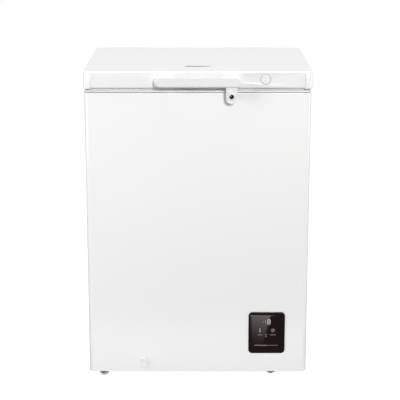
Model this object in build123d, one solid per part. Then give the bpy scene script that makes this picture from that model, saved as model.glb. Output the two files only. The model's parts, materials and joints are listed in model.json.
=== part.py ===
"""Compact chest freezer, about 100 litres: cabinet, hinged lid, cold circuit, controls, basket and feet.

Frame: +Z up, +X to the right of a person who faces the front, +Y towards the back. The origin is on the
floor, under the middle of the whole object. All sizes are in millimetres. Each function builds one
sub-part, and NODES at the end names the file that each one is written to.
"""

from build123d import *
import math
import os

# ---------------------------------------------------------------- driving dimensions
BODY_WIDTH = 600.0
BODY_DEPTH = 482.0
TOTAL_HEIGHT = 856.0
FLOOR_GAP = 18.0            # floor to the underside of the cabinet
LID_WIDTH = 604.0
LID_HEIGHT = 43.0
LID_OVERHANG = 4.0          # the lid stands this far past the cabinet, front and back
SEAL_GAP = 8.0              # rim to lid, filled by the gasket
RIM_THICKNESS = 5.0
SHEET = 0.8                 # steel sheet of the casings
BODY_CORNER = 12.0
CASING_TURN = 3.5           # room that the casing's upper edge needs to turn in
LID_CORNER = 10.0
HANDLE_REACH = 34.0         # handle, in front of the lid
HINGE_REACH = 25.0          # hinge knuckle, behind the cabinet
WALL_X = 65.0               # insulated side wall, outside to inside of the tub
WALL_Y = 67.0
FLOOR_WALL = 67.0
LINER = 1.0
TUB_CORNER = 35.0
FIT_GAP = 0.3               # air between pieces that don't touch

# ---------------------------------------------------------------- planes that follow from them
OVERALL_DEPTH = HANDLE_REACH + LID_OVERHANG + BODY_DEPTH + HINGE_REACH
HANDLE_FRONT = -OVERALL_DEPTH / 2
LID_FRONT = HANDLE_FRONT + HANDLE_REACH
FRONT = LID_FRONT + LID_OVERHANG
BACK = FRONT + BODY_DEPTH
LID_BACK = BACK + LID_OVERHANG
BODY_MID_Y = (FRONT + BACK) / 2
SIDE = BODY_WIDTH / 2
LID_TOP = TOTAL_HEIGHT
LID_BOTTOM = LID_TOP - LID_HEIGHT
RIM_TOP = LID_BOTTOM - SEAL_GAP
SHELL_TOP = RIM_TOP - RIM_THICKNESS
BOTTOM = FLOOR_GAP

# tub and rim
TUB_X = SIDE - WALL_X
TUB_Y = BODY_DEPTH / 2 - WALL_Y
TUB_FLOOR = BOTTOM + FLOOR_WALL
LEDGE_WIDTH = 9.0
LEDGE_TOP = RIM_TOP - 18.0
LEDGE_THICKNESS = 3.0
LINER_TOP = LEDGE_TOP - LEDGE_THICKNESS
RIM_WALL = 2.0

# compressor compartment, under the step in the tub
ROOM_X = 130.0
ROOM_TOP = 240.0
STEP_X = 80.0
STEP_TOP = 290.0
STEP_CORNER = 20.0

# hinges
HINGE_X = 185.0
HINGE_Y = BACK + 16.0
HINGE_Z = RIM_TOP
PIN_RADIUS = 4.0
KNUCKLE_RADIUS = 8.0
CHEEK_RADIUS = HINGE_REACH - 16.0
CHEEK_INNER = 24.0
CHEEK_OUTER = 28.0

# handle and padlock hasp
HANDLE_HALF = 114.0
HANDLE_BOTTOM = LID_TOP - 38.0
HANDLE_TOP = LID_TOP - 8.0
BAR_THICKNESS = 13.0
GAP_LEFT, GAP_RIGHT = -67.0, 68.0
HASP_X = 88.5
HASP_WIDTH = 29.5
HASP_FRONT = HANDLE_FRONT + 4.0
HASP_THICKNESS = 6.0
HASP_TOP = HANDLE_BOTTOM + 14.0
PADLOCK_Z = LID_TOP - 62.5
HASP_ARC_Z = PADLOCK_Z - 3.5    # middle of the hasp's round end
PADLOCK_RADIUS = 6.3
EYE_HALF = 9.5
EYE_FRONT = HASP_FRONT + HASP_THICKNESS + 3.0
EYE_THICKNESS = 4.0
BRACKET_BOTTOM = LID_TOP - 79.0
WEB_THICKNESS = 4.0

# round blank over the key lock position
CAP_X, CAP_Z, CAP_RADIUS = 178.5, LID_TOP - 21.0, 13.3

# control panel
PANEL_X, PANEL_Z = 189.6, 131.3
PANEL_WIDTH, PANEL_HEIGHT, PANEL_CORNER = 100.4, 119.5, 11.0
PANEL_PROUD = 3.0
GLASS_INSET = 2.4
HOUSING_WIDTH, HOUSING_HEIGHT, HOUSING_DEPTH = 92.0, 110.0, 24.0

# drain
DRAIN_X, DRAIN_Z = -150.0, 44.0
DRAIN_Y = FRONT + WALL_Y + 45.0
DRAIN_TUBE_RADIUS, DRAIN_BORE = 9.0, 7.0
DRAIN_CAP_WIDTH, DRAIN_CAP_HEIGHT = 20.0, 29.0

# rollers on the left, feet on the right
ROLLER_X = -261.0
FRONT_ROLLER_Y, REAR_ROLLER_Y = FRONT + 24.0, BACK - 24.0
WHEEL_RADIUS, WHEEL_WIDTH = 13.0, 16.0
AXLE_RADIUS = 3.0
ROLLER_HALF_X, ROLLER_HALF_Y, ROLLER_TOP = 20.0, 13.0, 36.0
FOOT_X = 204.0
FRONT_FOOT_Y, REAR_FOOT_Y = FRONT + 37.5, BACK - 24.0
STUD_RADIUS = 4.0
FOOT_LOW, FOOT_HIGH = 7.0, 10.0     # underside and top of the foot's disc

# tubes of the cold circuit
COLD_TUBE = 4.0
HOT_TUBE = 2.5
COIL_BOTTOM, COIL_TOP, COIL_TURNS = 345.0, 735.0, 9
CHANNEL = 9.0               # room left in the foam behind the tub for the cold tube
HOT_CHANNEL = 6.0

# compressor
POT_X = (ROOM_X + SIDE) / 2
POT_Y = BACK - 118.0
POT_RADIUS, POT_HEIGHT = 60.0, 142.0
TRAY = 2.0
MOUNT_TOP = BOTTOM + TRAY + 15.0
PLATE = 3.0
POT_BOTTOM = MOUNT_TOP + PLATE
MOUNT_X, MOUNT_Y = 62.0, 62.0

# basket
BASKET_LEFT, BASKET_RIGHT = -228.0, -8.0
BASKET_RIM_Y = TUB_Y + 4.0
BASKET_WALL_Y = TUB_Y - 7.0
BASKET_DEPTH = 200.0
BASKET_CORNER = 28.0
RIM_WIRE, RING_WIRE, GRID_WIRE = 2.5, 2.0, 1.6
WIRE_STEP = 2.4             # between the middles of crossed wires that are welded
GRIP_RADIUS, GRIP_HALF = 4.4, 45.0
TOUCH = 0.02                # pieces of one assembly that meet
BASKET_Z = LEDGE_TOP + 0.2 + RIM_WIRE
BASKET_FLOOR = BASKET_Z - BASKET_DEPTH
BASKET_TIES = (BASKET_Z - 70.0, BASKET_Z - 135.0)

# lid parts
PLUG_DROP = 10.0            # the lid's inner panel reaches this far below the rim
PLUG_BOTTOM = RIM_TOP - PLUG_DROP
PLUG_X, PLUG_Y = TUB_X - 6.0, TUB_Y - 6.0
PANEL_SKIN = 1.5
CAP_LENGTH = 20.0           # corner piece, along each side
CAP_WALL = 2.0
CAP_DROP = 3.0
GASKET_INSET, GASKET_WIDTH, GASKET_CORNER = 7.0, 13.0, 20.0
SEAM_HEIGHT, SEAM_DEPTH = 1.4, 2.0     # groove between the rim frame and the casing


# ---------------------------------------------------------------- small helpers
def block(x0, x1, y0, y1, z0, z1):
    """A box between two corners."""
    return Pos((x0 + x1) / 2, (y0 + y1) / 2, (z0 + z1) / 2) * Box(x1 - x0, y1 - y0, z1 - z0)


def slab(half_x, half_y, corner, z0, z1, mid_y=BODY_MID_Y):
    """An upright block with round vertical corners, centred on the cabinet."""
    outline = Pos(0, mid_y, z0) * RectangleRounded(2 * half_x, 2 * half_y, corner)
    return extrude(outline, z1 - z0)


def rod_x(radius, x0, x1, y, z):
    return Pos((x0 + x1) / 2, y, z) * Rot(0, 90, 0) * Cylinder(radius, x1 - x0)


def rod_y(radius, x, y0, y1, z):
    return Pos(x, (y0 + y1) / 2, z) * Rot(90, 0, 0) * Cylinder(radius, y1 - y0)


def rod_z(radius, x, y, z0, z1):
    return Pos(x, y, (z0 + z1) / 2) * Cylinder(radius, z1 - z0)


def plate_xz(width, height, corner, x, z, y0, y1):
    """A plate that stands in the X-Z plane, with round corners, from y0 back to y1."""
    outline = Plane((x, y1, z), x_dir=(1, 0, 0), z_dir=(0, -1, 0)) * RectangleRounded(width, height, corner)
    return extrude(outline, y1 - y0)


def profile_yz(points, x0, x1):
    """A prism along X whose section is given by (y, z) points."""
    outline = Polygon(*points, align=None)
    prism = extrude(outline, x1 - x0, dir=(0, 0, 1))
    return Plane((x0, 0, 0), x_dir=(0, 1, 0), z_dir=(1, 0, 0)) * prism


def tube(points, bend, radius, bore=0.0):
    """A round tube along straight runs joined by tangent arcs."""
    path = FilletPolyline(*points, radius=bend)
    section = Circle(radius) - Circle(bore) if bore else Circle(radius)
    return sweep(Plane(path @ 0, z_dir=path % 0) * section, path=path)


def screw_y(x, z, y_face, out, length=9.0, head=4.2, shank=1.9):
    """A pan-head screw driven along Y. out is -1 when its head faces the front and 1 when it faces the back."""
    ys = sorted([y_face, y_face + out * 2.4])
    cap = rod_y(head, x, ys[0], ys[1], z)
    ys = sorted([y_face, y_face - out * length])
    return cap + rod_y(shank, x, ys[0], ys[1], z)


# ---------------------------------------------------------------- cabinet
def tub_space(grow):
    """The space inside the tub, grown by a thickness all round, with the step over the compressor."""
    top = LINER_TOP
    upper = slab(TUB_X + grow, TUB_Y + grow, TUB_CORNER + grow, STEP_TOP - grow, top)
    left = -TUB_X - grow
    right = STEP_X + grow
    outline = Pos((left + right) / 2, BODY_MID_Y, TUB_FLOOR - grow) * RectangleRounded(
        right - left, 2 * (TUB_Y + grow), STEP_CORNER + grow
    )
    lower = extrude(outline, top - TUB_FLOOR + grow)
    keep = slab(TUB_X + grow, TUB_Y + grow, TUB_CORNER + grow, TUB_FLOOR - grow, top)
    return upper + (lower & keep)


def panel_cutout():
    return plate_xz(HOUSING_WIDTH, HOUSING_HEIGHT, 8, PANEL_X, PANEL_Z, FRONT - 1, FRONT + 2)


def drain_route():
    return [
        (DRAIN_X, DRAIN_Y, TUB_FLOOR - LINER),
        (DRAIN_X, DRAIN_Y, DRAIN_Z),
        (DRAIN_X, FRONT, DRAIN_Z),
    ]


def outer_casing():
    """Front and both sides, bent from one sheet, open at the back."""
    outside = slab(SIDE, BODY_DEPTH / 2, BODY_CORNER, BOTTOM, SHELL_TOP)
    square_back = block(-SIDE, SIDE, BODY_MID_Y, BACK, BOTTOM, SHELL_TOP)
    inner_x = SIDE - SHEET
    inside = slab(inner_x, BODY_DEPTH / 2 - SHEET, BODY_CORNER - SHEET, BOTTOM, SHELL_TOP)
    inside += block(-inner_x, inner_x, BODY_MID_Y, BACK, BOTTOM, SHELL_TOP)
    sheet = (outside + square_back) - inside
    sheet -= panel_cutout()
    sheet -= rod_y(DRAIN_TUBE_RADIUS, DRAIN_X, FRONT - 1, FRONT + 2, DRAIN_Z)
    return sheet - bracket_rivets()


def back_panel():
    sheet = block(-SIDE + SHEET, SIDE - SHEET, BACK - SHEET, BACK, BOTTOM, SHELL_TOP)
    sheet -= block(ROOM_X + 15, SIDE - 15, BACK - 2, BACK + 1, BOTTOM + 14, ROOM_TOP - 12)
    sheet -= rear_screws()
    return sheet - hinge_screws_back()


def bottom_panel():
    """Sheet under the foam, from the left side to the compressor compartment."""
    inner = slab(SIDE - SHEET, BODY_DEPTH / 2 - SHEET, BODY_CORNER - SHEET, BOTTOM, BOTTOM + SHEET)
    inner += block(-SIDE + SHEET, SIDE - SHEET, BODY_MID_Y, BACK - SHEET, BOTTOM, BOTTOM + SHEET)
    sheet = inner - block(ROOM_X, SIDE, FRONT, BACK, BOTTOM - 1, BOTTOM + 2)
    for y in (FRONT_ROLLER_Y, REAR_ROLLER_Y):
        sheet -= roller_pocket(y)
    return sheet


def roller_pocket(y):
    return block(
        ROLLER_X - ROLLER_HALF_X, ROLLER_X + ROLLER_HALF_X,
        y - ROLLER_HALF_Y, y + ROLLER_HALF_Y, BOTTOM - 1, ROLLER_TOP,
    )


def insulation():
    """Foam that fills the cabinet between casing and tub."""
    inner_x, half_y = SIDE - SHEET, BODY_DEPTH / 2 - SHEET
    low = BOTTOM + SHEET
    foam = slab(inner_x, half_y, BODY_CORNER - SHEET, low, SHELL_TOP)
    foam += block(-inner_x, inner_x, BODY_MID_Y, BACK - SHEET, low, SHELL_TOP)
    foam -= tub_space(LINER)
    rim_x, rim_y = TUB_X + LEDGE_WIDTH + RIM_WALL, TUB_Y + LEDGE_WIDTH + RIM_WALL
    foam -= slab(rim_x, rim_y, TUB_CORNER + LEDGE_WIDTH + RIM_WALL, LINER_TOP, SHELL_TOP)
    foam -= block(ROOM_X, SIDE, FRONT, BACK, BOTTOM, ROOM_TOP)
    # channel round the tub for the cold tube, and the two ways down from it
    wide = CHANNEL + LINER
    foam -= slab(TUB_X + wide, TUB_Y + wide, TUB_CORNER + wide, COIL_BOTTOM - 12, COIL_TOP + 12)
    for x, y in (cold_inlet(), cold_outlet()):
        foam -= block(x - 6, x + 6, y - 6, y + 6, ROOM_TOP - 1, COIL_TOP + 12)
    # channels against the casing for the hot tube
    foam -= block(-SIDE, -inner_x + HOT_CHANNEL, FRONT + 60, BACK - 1, 80, 720)
    foam -= block(-SIDE, ROOM_X, BACK - SHEET - HOT_CHANNEL, BACK, 50, 90)
    foam -= block(-SIDE, -inner_x + HOT_CHANNEL, BACK - 70, BACK, 50, 90)
    foam -= block(-SIDE, -inner_x + 24, BACK - 24, BACK, 50, 90)
    out_x, out_y = cold_outlet()
    foam -= block(out_x - 6, out_x + 44, BODY_MID_Y + TUB_Y, out_y + 6, COIL_TOP - 8, COIL_TOP + 12)
    foam -= tube(drain_route(), 18, DRAIN_TUBE_RADIUS)
    for y in (FRONT_ROLLER_Y, REAR_ROLLER_Y):
        foam -= roller_pocket(y)
    # room along the top for the casing's turned-in edge
    edge = slab(SIDE, BODY_DEPTH / 2, BODY_CORNER, SHELL_TOP - CASING_TURN, SHELL_TOP + 1)
    edge += block(-SIDE, SIDE, BODY_MID_Y, BACK, SHELL_TOP - CASING_TURN, SHELL_TOP + 1)
    inner = SIDE - CASING_TURN, BODY_DEPTH / 2 - CASING_TURN
    foam -= edge - slab(*inner, BODY_CORNER - CASING_TURN, SHELL_TOP - CASING_TURN, SHELL_TOP + 1)
    foam -= bracket_rivets()
    return foam - hinge_screws_back()


def inner_liner():
    tub = tub_space(LINER) - tub_space(0)
    return tub - rod_z(DRAIN_BORE, DRAIN_X, DRAIN_Y, TUB_FLOOR - 2, TUB_FLOOR + 1)


def rim_frame():
    """Plastic frame over the top of the walls, with the ledge that the basket hangs on."""
    out_x, out_y = TUB_X + LEDGE_WIDTH, TUB_Y + LEDGE_WIDTH
    corner = TUB_CORNER + LEDGE_WIDTH
    top = slab(SIDE, BODY_DEPTH / 2, BODY_CORNER, SHELL_TOP, RIM_TOP)
    top = fillet(top.faces().sort_by(Axis.Z)[-1].edges(), 3)
    wall = slab(out_x + RIM_WALL, out_y + RIM_WALL, corner + RIM_WALL, LINER_TOP, RIM_TOP)
    groove = slab(SIDE + 1, BODY_DEPTH / 2 + 1, BODY_CORNER + 1, SHELL_TOP - 1, SHELL_TOP + SEAM_HEIGHT)
    groove -= slab(SIDE - SEAM_DEPTH, BODY_DEPTH / 2 - SEAM_DEPTH, BODY_CORNER - SEAM_DEPTH, SHELL_TOP - 1,
                   SHELL_TOP + SEAM_HEIGHT)
    frame = (top - groove) + wall
    frame -= slab(out_x, out_y, corner, LEDGE_TOP, RIM_TOP + 1)
    frame -= slab(TUB_X, TUB_Y, TUB_CORNER, LINER_TOP - 1, LEDGE_TOP + 1)
    mouth = [e for e in frame.edges().filter_by_position(Axis.Z, RIM_TOP - 0.01, RIM_TOP + 0.01)
             if abs(e.center().X) < SIDE - 20 and abs(e.center().Y - BODY_MID_Y) < BODY_DEPTH / 2 - 20]
    return fillet(mouth, 2)


# ---------------------------------------------------------------- drain
def drain_tube():
    return tube(drain_route(), 18, DRAIN_TUBE_RADIUS, DRAIN_BORE)


def drain_stopper():
    """Soft plug in the floor of the tub."""
    stem = rod_z(DRAIN_BORE - 0.3, DRAIN_X, DRAIN_Y, TUB_FLOOR - 8, TUB_FLOOR + 0.3)
    head = rod_z(13, DRAIN_X, DRAIN_Y, TUB_FLOOR + 0.3, TUB_FLOOR + 4.3)
    head = fillet(head.edges().group_by(Axis.Z)[-1], 1.5)
    grip = block(DRAIN_X - 9, DRAIN_X + 9, DRAIN_Y - 1.5, DRAIN_Y + 1.5, TUB_FLOOR + 4.3, TUB_FLOOR + 13)
    return stem + head + fillet(grip.edges().filter_by(Axis.Y).group_by(Axis.Z)[-1], 5)


def drain_cap():
    """Outer cap: a tall round-ended plate with a short spigot that plugs the drain tube."""
    face = FRONT - FIT_GAP
    plate = plate_xz(
        DRAIN_CAP_WIDTH, DRAIN_CAP_HEIGHT, DRAIN_CAP_WIDTH / 2 - 0.01, DRAIN_X, DRAIN_Z, face - 5, face
    )
    plate = fillet(plate.faces().sort_by(Axis.Y)[0].edges(), 1.5)
    spigot = rod_y(DRAIN_BORE - 0.3, DRAIN_X, face, FRONT + 22, DRAIN_Z)
    nib = plate_xz(8, 14, 3.9, DRAIN_X + 4, DRAIN_Z + 8, face - 8, face - 5)
    return plate + spigot + nib


# ---------------------------------------------------------------- cold circuit
def cold_inlet():
    return 205.0, TUB_Y + BODY_MID_Y + LINER + COLD_TUBE + 0.5


def cold_outlet():
    return 150.0, TUB_Y + BODY_MID_Y + LINER + COLD_TUBE + 14.0


def evaporator_tube():
    """Tube wound round the tub, with both ends down in the compressor compartment."""
    off = LINER + COLD_TUBE + 0.3
    x, y = TUB_X + off, TUB_Y + off
    in_x, in_y = cold_inlet()
    out_x, out_y = cold_outlet()
    rise = (COIL_TOP - COIL_BOTTOM) / COIL_TURNS
    points = [(in_x, in_y, ROOM_TOP - 12), (in_x, in_y, COIL_BOTTOM)]
    corners = [(-x, y), (-x, -y), (x, -y), (x, y)]
    for turn in range(COIL_TURNS):
        for k, (cx, cy) in enumerate(corners):
            points.append((cx, BODY_MID_Y + cy, COIL_BOTTOM + rise * (turn + (k + 1) / 4)))
    points.append((out_x + 30, in_y, COIL_TOP + 1))
    points.append((out_x, out_y, COIL_TOP + 1))
    points.append((out_x, out_y, ROOM_TOP - 12))
    last = len(points) - 3
    bends = []
    for i in range(1, len(points) - 1):
        bends.append(8.0 if i == 1 or i >= last else TUB_CORNER + off)
    path = FilletPolyline(*points, radius=bends)
    return sweep(Plane(path @ 0, z_dir=path % 0) * Circle(COLD_TUBE), path=path)


def condenser_tube():
    """Serpentine against the left side, then a run along the back to the compressor compartment."""
    x = -SIDE + SHEET + HOT_TUBE + 0.3
    y = BACK - SHEET - HOT_TUBE - 0.3
    runs = 8
    y0, y1 = FRONT + 80, BACK - 90
    pitch = (y1 - y0) / (runs - 1)
    points = []
    for i in range(runs):
        ends = (100, 700) if i % 2 == 0 else (700, 100)
        points += [(x, y0 + i * pitch, z) for z in ends]
    points += [(x, y1 + pitch * 0.9, 100), (x, y1 + pitch * 0.9, 70)]
    points += [(x, y, 70), (ROOM_X + 14, y, 70)]
    bends = [14.0] * (len(points) - 2)
    path = FilletPolyline(*points, radius=bends)
    return sweep(Plane(path @ 0, z_dir=path % 0) * Circle(HOT_TUBE), path=path)


def compressor_tray():
    """Steel floor of the compartment, with its left edge turned up against the foam."""
    tray = slab(SIDE - SHEET, BODY_DEPTH / 2 - SHEET, BODY_CORNER - SHEET, BOTTOM, BOTTOM + TRAY)
    tray += block(BODY_WIDTH / 4, SIDE - SHEET, BODY_MID_Y, BACK - SHEET, BOTTOM, BOTTOM + TRAY)
    tray &= block(ROOM_X, SIDE, FRONT, BACK, BOTTOM - 1, BOTTOM + 4)
    tray += block(ROOM_X, ROOM_X + TRAY, FRONT + BODY_CORNER, BACK - SHEET, BOTTOM, BOTTOM + 20)
    tray -= rod_z(STUD_RADIUS + 0.3, FOOT_X, FRONT_FOOT_Y, BOTTOM - 1, BOTTOM + 4)
    tray -= rod_z(STUD_RADIUS + 0.3, FOOT_X, REAR_FOOT_Y, BOTTOM - 1, BOTTOM + 4)
    return tray - compressor_bolts()


def compressor_pot():
    """Hermetic shell: a domed can with the welded joint round its middle, on its base plate."""
    can = rod_z(POT_RADIUS, POT_X, POT_Y, POT_BOTTOM, POT_BOTTOM + POT_HEIGHT)
    can = fillet(can.edges().filter_by(GeomType.CIRCLE), 28)
    middle = POT_BOTTOM + POT_HEIGHT * 0.45
    can += rod_z(POT_RADIUS + 3, POT_X, POT_Y, middle, middle + 5)
    plate = Pos(POT_X, POT_Y, MOUNT_TOP) * RectangleRounded(2 * MOUNT_X + 30, 2 * MOUNT_Y + 30, 12)
    can += extrude(plate, PLATE) + rod_z(POT_RADIUS - 24, POT_X, POT_Y, MOUNT_TOP, POT_BOTTOM + 10)
    return can - compressor_bolts()


def mount_places():
    return [(POT_X + sx * MOUNT_X, POT_Y + sy * MOUNT_Y) for sx in (-1, 1) for sy in (-1, 1)]


def compressor_bolts():
    bolts = []
    for x, y in mount_places():
        bolts.append(rod_z(3.5, x, y, BOTTOM, POT_BOTTOM + 3) + rod_z(6.5, x, y, POT_BOTTOM, POT_BOTTOM + 6))
    return bolts


def compressor_grommets():
    rubbers = []
    for x, y in mount_places():
        bung = rod_z(11, x, y, BOTTOM + TRAY, MOUNT_TOP) - rod_z(3.8, x, y, BOTTOM, MOUNT_TOP + 1)
        rubbers.append(bung)
    return rubbers


def relay_cover():
    """Plastic cover over the compressor's terminals."""
    box = block(POT_X - 24, POT_X + 24, POT_Y - POT_RADIUS - 26, POT_Y - 40, 60, 112)
    box = fillet(box.faces().sort_by(Axis.Y)[0].edges(), 4)
    return box - rod_z(POT_RADIUS + 3.4, POT_X, POT_Y, 50, 120)


def discharge_tube():
    """From the compressor to the start of the condenser."""
    y_end = BACK - SHEET - HOT_TUBE - 0.3
    x_start = POT_X - POT_RADIUS - 0.2
    points = [
        (x_start, POT_Y, 80),
        (ROOM_X + 12, POT_Y, 80),
        (ROOM_X + 12, y_end - 22, 80),
        (ROOM_X + 12, y_end - 22, 70),
    ]
    path = FilletPolyline(*points, radius=[9.0, 9.0])
    return sweep(Plane(path @ 0, z_dir=path % 0) * Circle(HOT_TUBE), path=path)


def suction_tube():
    """From the evaporator's outlet down to the compressor's dome."""
    x, y = cold_outlet()
    top = ROOM_TOP - 12
    level = POT_BOTTOM + POT_HEIGHT + 24
    points = [(x, y, top), (x, y, level), (POT_X, POT_Y, level), (POT_X, POT_Y, POT_BOTTOM + POT_HEIGHT)]
    path = FilletPolyline(*points, radius=[9.0, 9.0])
    return sweep(Plane(path @ 0, z_dir=path % 0) * Circle(COLD_TUBE), path=path)


def filter_drier():
    """Copper drier with the capillary wound in a small coil above it."""
    x, y = SIDE - 26, FRONT + 120
    can = rod_z(9, x, y, 60, 140)
    can = fillet(can.edges().filter_by(GeomType.CIRCLE), 6)
    helix = Pos(x - 24, y, 150) * Helix(pitch=4, height=20, radius=22)
    start = Plane(origin=helix @ 0, z_dir=helix % 0)
    coil = sweep(start * Circle(1.1), path=helix, is_frenet=True)
    return [can, coil]


def rear_vent_cover():
    """Slotted cover over the back of the compressor compartment."""
    cover = plate_xz(SIDE - 8 - ROOM_X, ROOM_TOP - 26, 6, (ROOM_X + 4 + SIDE - 4) / 2, (ROOM_TOP + 26) / 2,
                     BACK, BACK + 1.5)
    for column in (ROOM_X + 50, ROOM_X + 122):
        for row in range(12):
            cover -= plate_xz(56, 6, 2.9, column, 70 + 13 * row, BACK - 1, BACK + 3)
    cover -= rod_y(9, ROOM_X + 30, BACK - 1, BACK + 3, 46)
    return cover - rear_screws()


def rear_screws():
    xs, zs = (ROOM_X + 10, SIDE - 10), (BOTTOM + 8, ROOM_TOP - 6)
    return [screw_y(x, z, BACK + 1.5, 1) for x in xs for z in zs]


def cable_gland():
    """Bush that the mains lead leaves through."""
    x, z = ROOM_X + 30, 46
    bush = rod_y(9, x, BACK - 6, BACK + 1.5, z) + rod_y(12, x, BACK + 1.5, BACK + 5, z)
    bush += rod_y(6.5, x, BACK + 5, BACK + 16, z)
    bush += rod_y(12, x, BACK - 9, BACK - SHEET - 0.2, z)
    return bush - rod_y(3.6, x, BACK - 10, BACK + 20, z)


# ---------------------------------------------------------------- control panel
def control_bezel():
    frame = plate_xz(PANEL_WIDTH, PANEL_HEIGHT, PANEL_CORNER, PANEL_X, PANEL_Z, FRONT - PANEL_PROUD, FRONT)
    frame = fillet(frame.faces().sort_by(Axis.Y)[0].edges(), 1.2)
    w, h = PANEL_WIDTH - 2 * GLASS_INSET, PANEL_HEIGHT - 2 * GLASS_INSET
    frame -= plate_xz(w, h, PANEL_CORNER - GLASS_INSET, PANEL_X, PANEL_Z, FRONT - 5, FRONT - 0.8)
    return frame - plate_xz(82, 100, 4, PANEL_X, PANEL_Z, FRONT - 2, FRONT + 1)


def control_glass():
    w, h = PANEL_WIDTH - 2 * GLASS_INSET, PANEL_HEIGHT - 2 * GLASS_INSET
    return plate_xz(w, h, PANEL_CORNER - GLASS_INSET, PANEL_X, PANEL_Z, FRONT - PANEL_PROUD, FRONT - 0.8)


def marking(width, height, x, z, corner=0.0):
    """A thin printed mark on the glass."""
    y1 = FRONT - PANEL_PROUD
    if corner:
        return plate_xz(width, height, corner, x, z, y1 - 0.25, y1)
    return block(x - width / 2, x + width / 2, y1 - 0.25, y1, z - height / 2, z + height / 2)


def digit(x, z, lit, w=8.0, h=15.0, t=1.7):
    """A seven-segment figure. lit holds the letters a to g of the segments that show."""
    half = h / 2
    places = {
        "a": (w - 2 * t, t, 0, half - t / 2),
        "g": (w - 2 * t, t, 0, 0),
        "d": (w - 2 * t, t, 0, -half + t / 2),
        "f": (t, half - t, -w / 2 + t / 2, half / 2),
        "b": (t, half - t, w / 2 - t / 2, half / 2),
        "e": (t, half - t, -w / 2 + t / 2, -half / 2),
        "c": (t, half - t, w / 2 - t / 2, -half / 2),
    }
    return [marking(sw, sh, x + dx, z + dz) for k, (sw, sh, dx, dz) in places.items() if k in lit]


def display_digits():
    """The set temperature, -18."""
    z = PANEL_Z + 31
    return digit(PANEL_X - 28, z, "g") + digit(PANEL_X - 20, z, "bc") + digit(PANEL_X - 7, z, "abcdefg")


def panel_marks():
    """Thermometer, snowflake, their key lines, two small lamps and a divider."""
    marks = []
    zi = PANEL_Z + 7.5
    marks.append(marking(3, 12, PANEL_X - 20, zi + 2, 1.4) + marking(6, 6, PANEL_X - 20, zi - 4, 2.9))
    flake = marking(1.1, 13, PANEL_X + 17, zi)
    for angle in (60, 120):
        arm = marking(1.1, 13, PANEL_X + 17, zi)
        flake += arm.rotate(Axis((PANEL_X + 17, FRONT, zi), (0, 1, 0)), angle)
    marks.append(flake)
    marks.append(marking(15, 1.6, PANEL_X - 20, PANEL_Z - 5.5, 0.7))
    marks.append(marking(17, 1.6, PANEL_X + 17, PANEL_Z - 5.5, 0.7))
    marks.append(marking(5, 1.6, PANEL_X - 1.5, PANEL_Z - 5.5, 0.7))
    marks.append(marking(3.4, 1.6, PANEL_X - 1.5, PANEL_Z - 11.5, 0.7))
    marks.append(marking(66, 0.9, PANEL_X - 1.5, PANEL_Z - 37.5, 0.4))
    return marks


def control_board():
    y0 = FRONT + 4
    board = plate_xz(76, 92, 2, PANEL_X, PANEL_Z, y0, y0 + 1.6)
    chips = [block(PANEL_X + dx - 7, PANEL_X + dx + 7, y0 + 1.6, y0 + 5, PANEL_Z + dz - 7, PANEL_Z + dz + 7)
             for dx, dz in ((-22, -25), (20, -20), (0, 18))]
    for chip in chips:
        board += chip
    return board


def control_housing():
    """Box behind the panel, through the cut-out in the casing."""
    box = plate_xz(HOUSING_WIDTH, HOUSING_HEIGHT, 8, PANEL_X, PANEL_Z, FRONT, FRONT + HOUSING_DEPTH)
    return box - plate_xz(HOUSING_WIDTH - 4, HOUSING_HEIGHT - 4, 6, PANEL_X, PANEL_Z,
                          FRONT - 1, FRONT + HOUSING_DEPTH - 2)


# ---------------------------------------------------------------- rollers and feet
def roller_housing(y):
    """Moulded pocket with a flange under the cabinet."""
    cup = block(ROLLER_X - ROLLER_HALF_X, ROLLER_X + ROLLER_HALF_X, y - ROLLER_HALF_Y, y + ROLLER_HALF_Y,
                BOTTOM, ROLLER_TOP)
    flange = extrude(Pos(ROLLER_X, y, BOTTOM - 1.5) * RectangleRounded(52, 38, 6), 1.5)
    hollow = block(ROLLER_X - ROLLER_HALF_X + 2, ROLLER_X + ROLLER_HALF_X - 2,
                   y - WHEEL_WIDTH / 2 - 0.6, y + WHEEL_WIDTH / 2 + 0.6, 0, ROLLER_TOP - 2)
    ears = block(ROLLER_X - 5, ROLLER_X + 5, y - ROLLER_HALF_Y, y + ROLLER_HALF_Y, WHEEL_RADIUS - 5, BOTTOM)
    axle = rod_y(AXLE_RADIUS, ROLLER_X, y - 20, y + 20, WHEEL_RADIUS)
    return (cup + flange + ears) - hollow - axle


def roller_wheel(y):
    wheel = rod_y(WHEEL_RADIUS, ROLLER_X, y - WHEEL_WIDTH / 2, y + WHEEL_WIDTH / 2, WHEEL_RADIUS)
    wheel = fillet(wheel.edges().filter_by(GeomType.CIRCLE), 1.5)
    return wheel - rod_y(AXLE_RADIUS + 0.05, ROLLER_X, y - 20, y + 20, WHEEL_RADIUS)


def roller_axles():
    return [rod_y(AXLE_RADIUS, ROLLER_X, y - ROLLER_HALF_Y, y + ROLLER_HALF_Y, WHEEL_RADIUS)
            for y in (FRONT_ROLLER_Y, REAR_ROLLER_Y)]


def levelling_foot(y):
    """Narrow pad under a gripping disc, on a threaded stud that is drawn as a plain rod."""
    disc = rod_z(18, FOOT_X, y, FOOT_LOW, FOOT_HIGH)
    disc = fillet(disc.edges().filter_by(GeomType.CIRCLE), 1.0)
    pad = Pos(FOOT_X, y, FOOT_LOW / 2) * Cone(7, 9, FOOT_LOW)
    return disc + pad + rod_z(STUD_RADIUS, FOOT_X, y, FOOT_HIGH, 40)


def foot_nuts():
    nuts = []
    for y in (FRONT_FOOT_Y, REAR_FOOT_Y):
        nut = extrude(Pos(FOOT_X, y, BOTTOM + TRAY) * RegularPolygon(8, 6), 8)
        nuts.append(nut - rod_z(STUD_RADIUS + 0.05, FOOT_X, y, BOTTOM, 60))
    return nuts


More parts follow.
